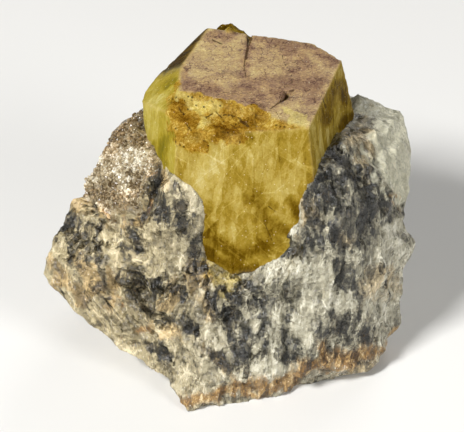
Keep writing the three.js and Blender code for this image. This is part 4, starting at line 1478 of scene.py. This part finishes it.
# %% The crystal's patterns
def along_turned(tree, place, turn, stretch):
    """The place turned, then squeezed along the turned X, so that lines read there run along it."""
    turned = node(tree, "Mapping", {"Vector": place, "Rotation": turn}).outputs[0]
    return node(tree, "Mapping", {"Vector": turned, "Scale": (1 / stretch, 1.0, 1.0)}).outputs[0]


def crystal_patterns(tree, place):
    """The patterns by name, those called grain and flake drawn out along the upright panels."""
    drawn = drawn_along(tree, place, PANELS_RUN, 3.0)
    facets = placed(tree, FACETS, Place=drawn, Size=0.5, Warp=0.3)
    crackle = placed(tree, CRACKLE, Place=place, Size=1.4, Width=0.035, Warp=1.8)
    return {
        "fine": cloud(tree, place, 0.24, 4.0, 0.75),
        "broad": cloud(tree, place, 2.4, 5.0, 0.62, 0.5),
        "wide": cloud(tree, place, 4.5, 3.0, 0.5),
        "grain": cloud(tree, drawn, 0.4, 5.0, 0.7, 0.4),
        "flake": facets["Flake"],
        "lean": facets["Height"],
        "crackle": crackle["Line"],
        "crackle flake": crackle["Flake"],
        "small crackle": placed(tree, CRACKLE, Place=place, Size=0.6, Width=0.05, Warp=0.8)["Line"],
    }


# %% The yellow body and the mauve top
def yellow(tree, place, seen):
    """The body's shade, with straight breaks added to its tone, and lemon on the left."""
    tone = weighed(tree, -0.26, YELLOW_TONE, seen)
    for turn, size, weight in SLANTS:
        turned = along_turned(tree, place, turn, 8)
        lines = placed(tree, CRACKLE, Place=turned, Size=size, Width=0.03, Warp=0.2)
        tone = weighed(tree, tone, {"Line": weight, "Flake": 0.07}, lines)
    colour = shades(tree, tone, YELLOW_SHADES)
    return laid_over(tree, colour, on_skin(tree, "lemon"), 0.3, screen(168, 160, 44))


def mauve_top(tree, seen):
    """The top's shade, tinted mauve in wide clouds and where the skin says purple."""
    top = shades(tree, weighed(tree, -0.94, TOP_TONE, seen), TOP_SHADES)
    clouds = times(tree, ease(tree, seen["wide"], 0.42, 0.6), 0.25)
    mauve = maths(tree, "ADD", clouds, on_skin(tree, "purple"), held=True)
    return laid_over(tree, top, mauve, 0.5, tinted(tree, top, 230, 212, 218))


# %% The crystal's material
def crystal_material():
    """Yellow, with the mauve top, rust, cream, specks and cracks laid over it, and painted shade in the pit
    and the notch, painted highlights along the edges and painted glints.
    """
    material, tree, shader, place = new_material("rhodizite")
    seen = crystal_patterns(tree, place)
    colour = mixed(tree, on_skin(tree, "mauve"), yellow(tree, place, seen), mauve_top(tree, seen))

    broken = patch(tree, place, "broken", 0.7, 1.4)
    rusty = weighed(tree, -1.1, {"fine": 1.6, "broad": 1.4, "flats": 0.3}, seen)
    colour = laid_over(tree, colour, broken, 0.75, shades(tree, rusty, RUST_SHADES))
    creamy = weighed(tree, -0.4, {"fine": 1.2, "grain": 0.6}, seen)
    cream = patch(tree, place, "cream", 0.6, 1.2)
    colour = laid_over(tree, colour, cream, 0.55, shades(tree, creamy, CREAM_SHADES))
    specks = times(tree, placed(tree, SPECKS_AND_PAINTED_GLINTS, Place=place, Size=0.45, Share=0.12)["Spot"], broken)
    colour = laid_over(tree, colour, specks, 0.8, screen(44, 28, 12))
    # The dark marks: real specks and cracks, and painted shade in the pit and the notch.
    dark = ease(tree, weighed(tree, -0.5, {"dark": 1.0, "fine": 0.7}, seen), 0.1, 0.7)
    colour = laid_over(tree, colour, dark, 0.8, screen(56, 38, 20))
    # Painted highlights along the crystal's edges.
    colour = laid_over(tree, colour, on_skin(tree, "edge"), 0.14, screen(222, 208, 160))
    # Painted glints: small pale spots in the colour that stand for highlights.
    painted_glints = placed(tree, SPECKS_AND_PAINTED_GLINTS, Place=place, Size=0.2, Share=0.03)["Spot"]
    colour = laid_over(tree, colour, painted_glints, 0.4, screen(240, 232, 196))

    gloss = between(tree, seen["fine"], 0.26, 0.56)
    dull = maths(tree, "ADD", gloss, times(tree, broken, 0.2), held=True)
    surface = {"Base Color": colour, "Roughness": dull, "IOR": 1.69, "Specular IOR Level": 0.004}
    inside = {"Subsurface Weight": 0.35, "Subsurface Radius": (1.0, 0.75, 0.2), "Subsurface Scale": 0.6 * MM}
    fill(tree, shader, {**surface, **inside})
    leans = [(seen["broad"], 0.12, 0.4), (seen["grain"], 0.08, 0.5), (seen["lean"], 0.6, 0.4)]
    bumped(tree, shader, [*leans, (seen["fine"], 0.07, 0.7)])
    return material


crystal.data.materials.append(crystal_material())
print("materials:", [each.name for each in bpy.data.materials])

# %% [markdown]
# ## What stands for what
#
# The solid model stays the truth about place and size. The lump and its grains are shown instead of the
# plain lump, and the crystal instead of the plain crystal, and all of them ride on the model's one body.

# %% Pieces and the nodes they replace
for piece, slot in ((lump, "smoky_quartz"), (grains, "smoky_quartz"), (crystal, "rhodizite")):
    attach(piece, "root")
    print(piece.name, "is made of", slot)
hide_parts("quartz_matrix")
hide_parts("rhodizite_crystal")

# %% [markdown]
# ## Floor, light and camera
#
# A pale floor without any pattern and large soft lights show the minerals plainly. The main light hangs to
# the upper left, as the shine on the specimen asks, a weaker one fills the right, and one behind lifts the
# rim. The camera looks down by 35 degrees from 300 mm away through a long lens, which keeps the specimen's
# proportions.

# %% Floor
FLOOR_HALF = 2.0
floor_mesh = bpy.data.meshes.new("floor")
floor_corners = [(x * FLOOR_HALF, y * FLOOR_HALF, 0) for x, y in ((-1, -1), (1, -1), (1, 1), (-1, 1))]
floor_mesh.from_pydata(floor_corners, [], [(0, 1, 2, 3)])
floor = bpy.data.objects.new("floor", floor_mesh)
bpy.context.scene.collection.objects.link(floor)
floor_material = bpy.data.materials.new("pale floor")
floor_material.use_nodes = True
floor_shader = floor_material.node_tree.nodes["Principled BSDF"]
floor_shader.inputs["Base Color"].default_value = screen(226, 225, 222)
floor_shader.inputs["Roughness"].default_value = 0.7
floor_mesh.materials.append(floor_material)
print("the floor is", 2 * FLOOR_HALF, "metres wide")

# %% Lights and the pale surroundings
TARGET = Vector((LOOKED_AT * MM).tolist())
# Each lamp: where it hangs from the specimen's middle and how wide it is, both in metres, and its watts.
LAMPS = {
    "main light": ((-0.28, -0.3, 0.42), 0.12, 4.4),
    "fill light": ((0.42, -0.42, 0.34), 0.25, 1.9),
    "rim light": ((0.25, 0.5, 0.35), 0.3, 1.2),
}


def soft_light(name, away, width, watts):
    """A square lamp at a place given from the specimen's middle, turned to face it."""
    lamp = bpy.data.lights.new(name, "AREA")
    lamp.size = width
    lamp.energy = watts
    made = bpy.data.objects.new(name, lamp)
    made.location = TARGET + Vector(away)
    made.rotation_euler = Vector(away).to_track_quat("Z", "Y").to_euler()
    bpy.context.scene.collection.objects.link(made)


for name, (away, width, watts) in LAMPS.items():
    soft_light(name, away, width, watts)
world = bpy.data.worlds.new("pale room")
world.use_nodes = True
world.node_tree.nodes["Background"].inputs["Color"].default_value = screen(238, 236, 230)
world.node_tree.nodes["Background"].inputs["Strength"].default_value = 0.1
bpy.context.scene.world = world
bpy.context.scene.view_settings.view_transform = "Standard"
print("lamps:", ", ".join(LAMPS))

# %% Camera
camera_data = bpy.data.cameras.new("camera")
camera_data.sensor_width = 36
camera_data.lens = camera_data.sensor_width * CAMERA_DISTANCE / SEEN_WIDTH
camera = bpy.data.objects.new("camera", camera_data)
camera.location = TARGET + Vector(FRONT.tolist()) * CAMERA_DISTANCE * MM
camera.rotation_euler = Vector(FRONT.tolist()).to_track_quat("Z", "Y").to_euler()
bpy.context.scene.collection.objects.link(camera)
bpy.context.scene.camera = camera
print("the camera's lens in mm:", round(camera_data.lens))
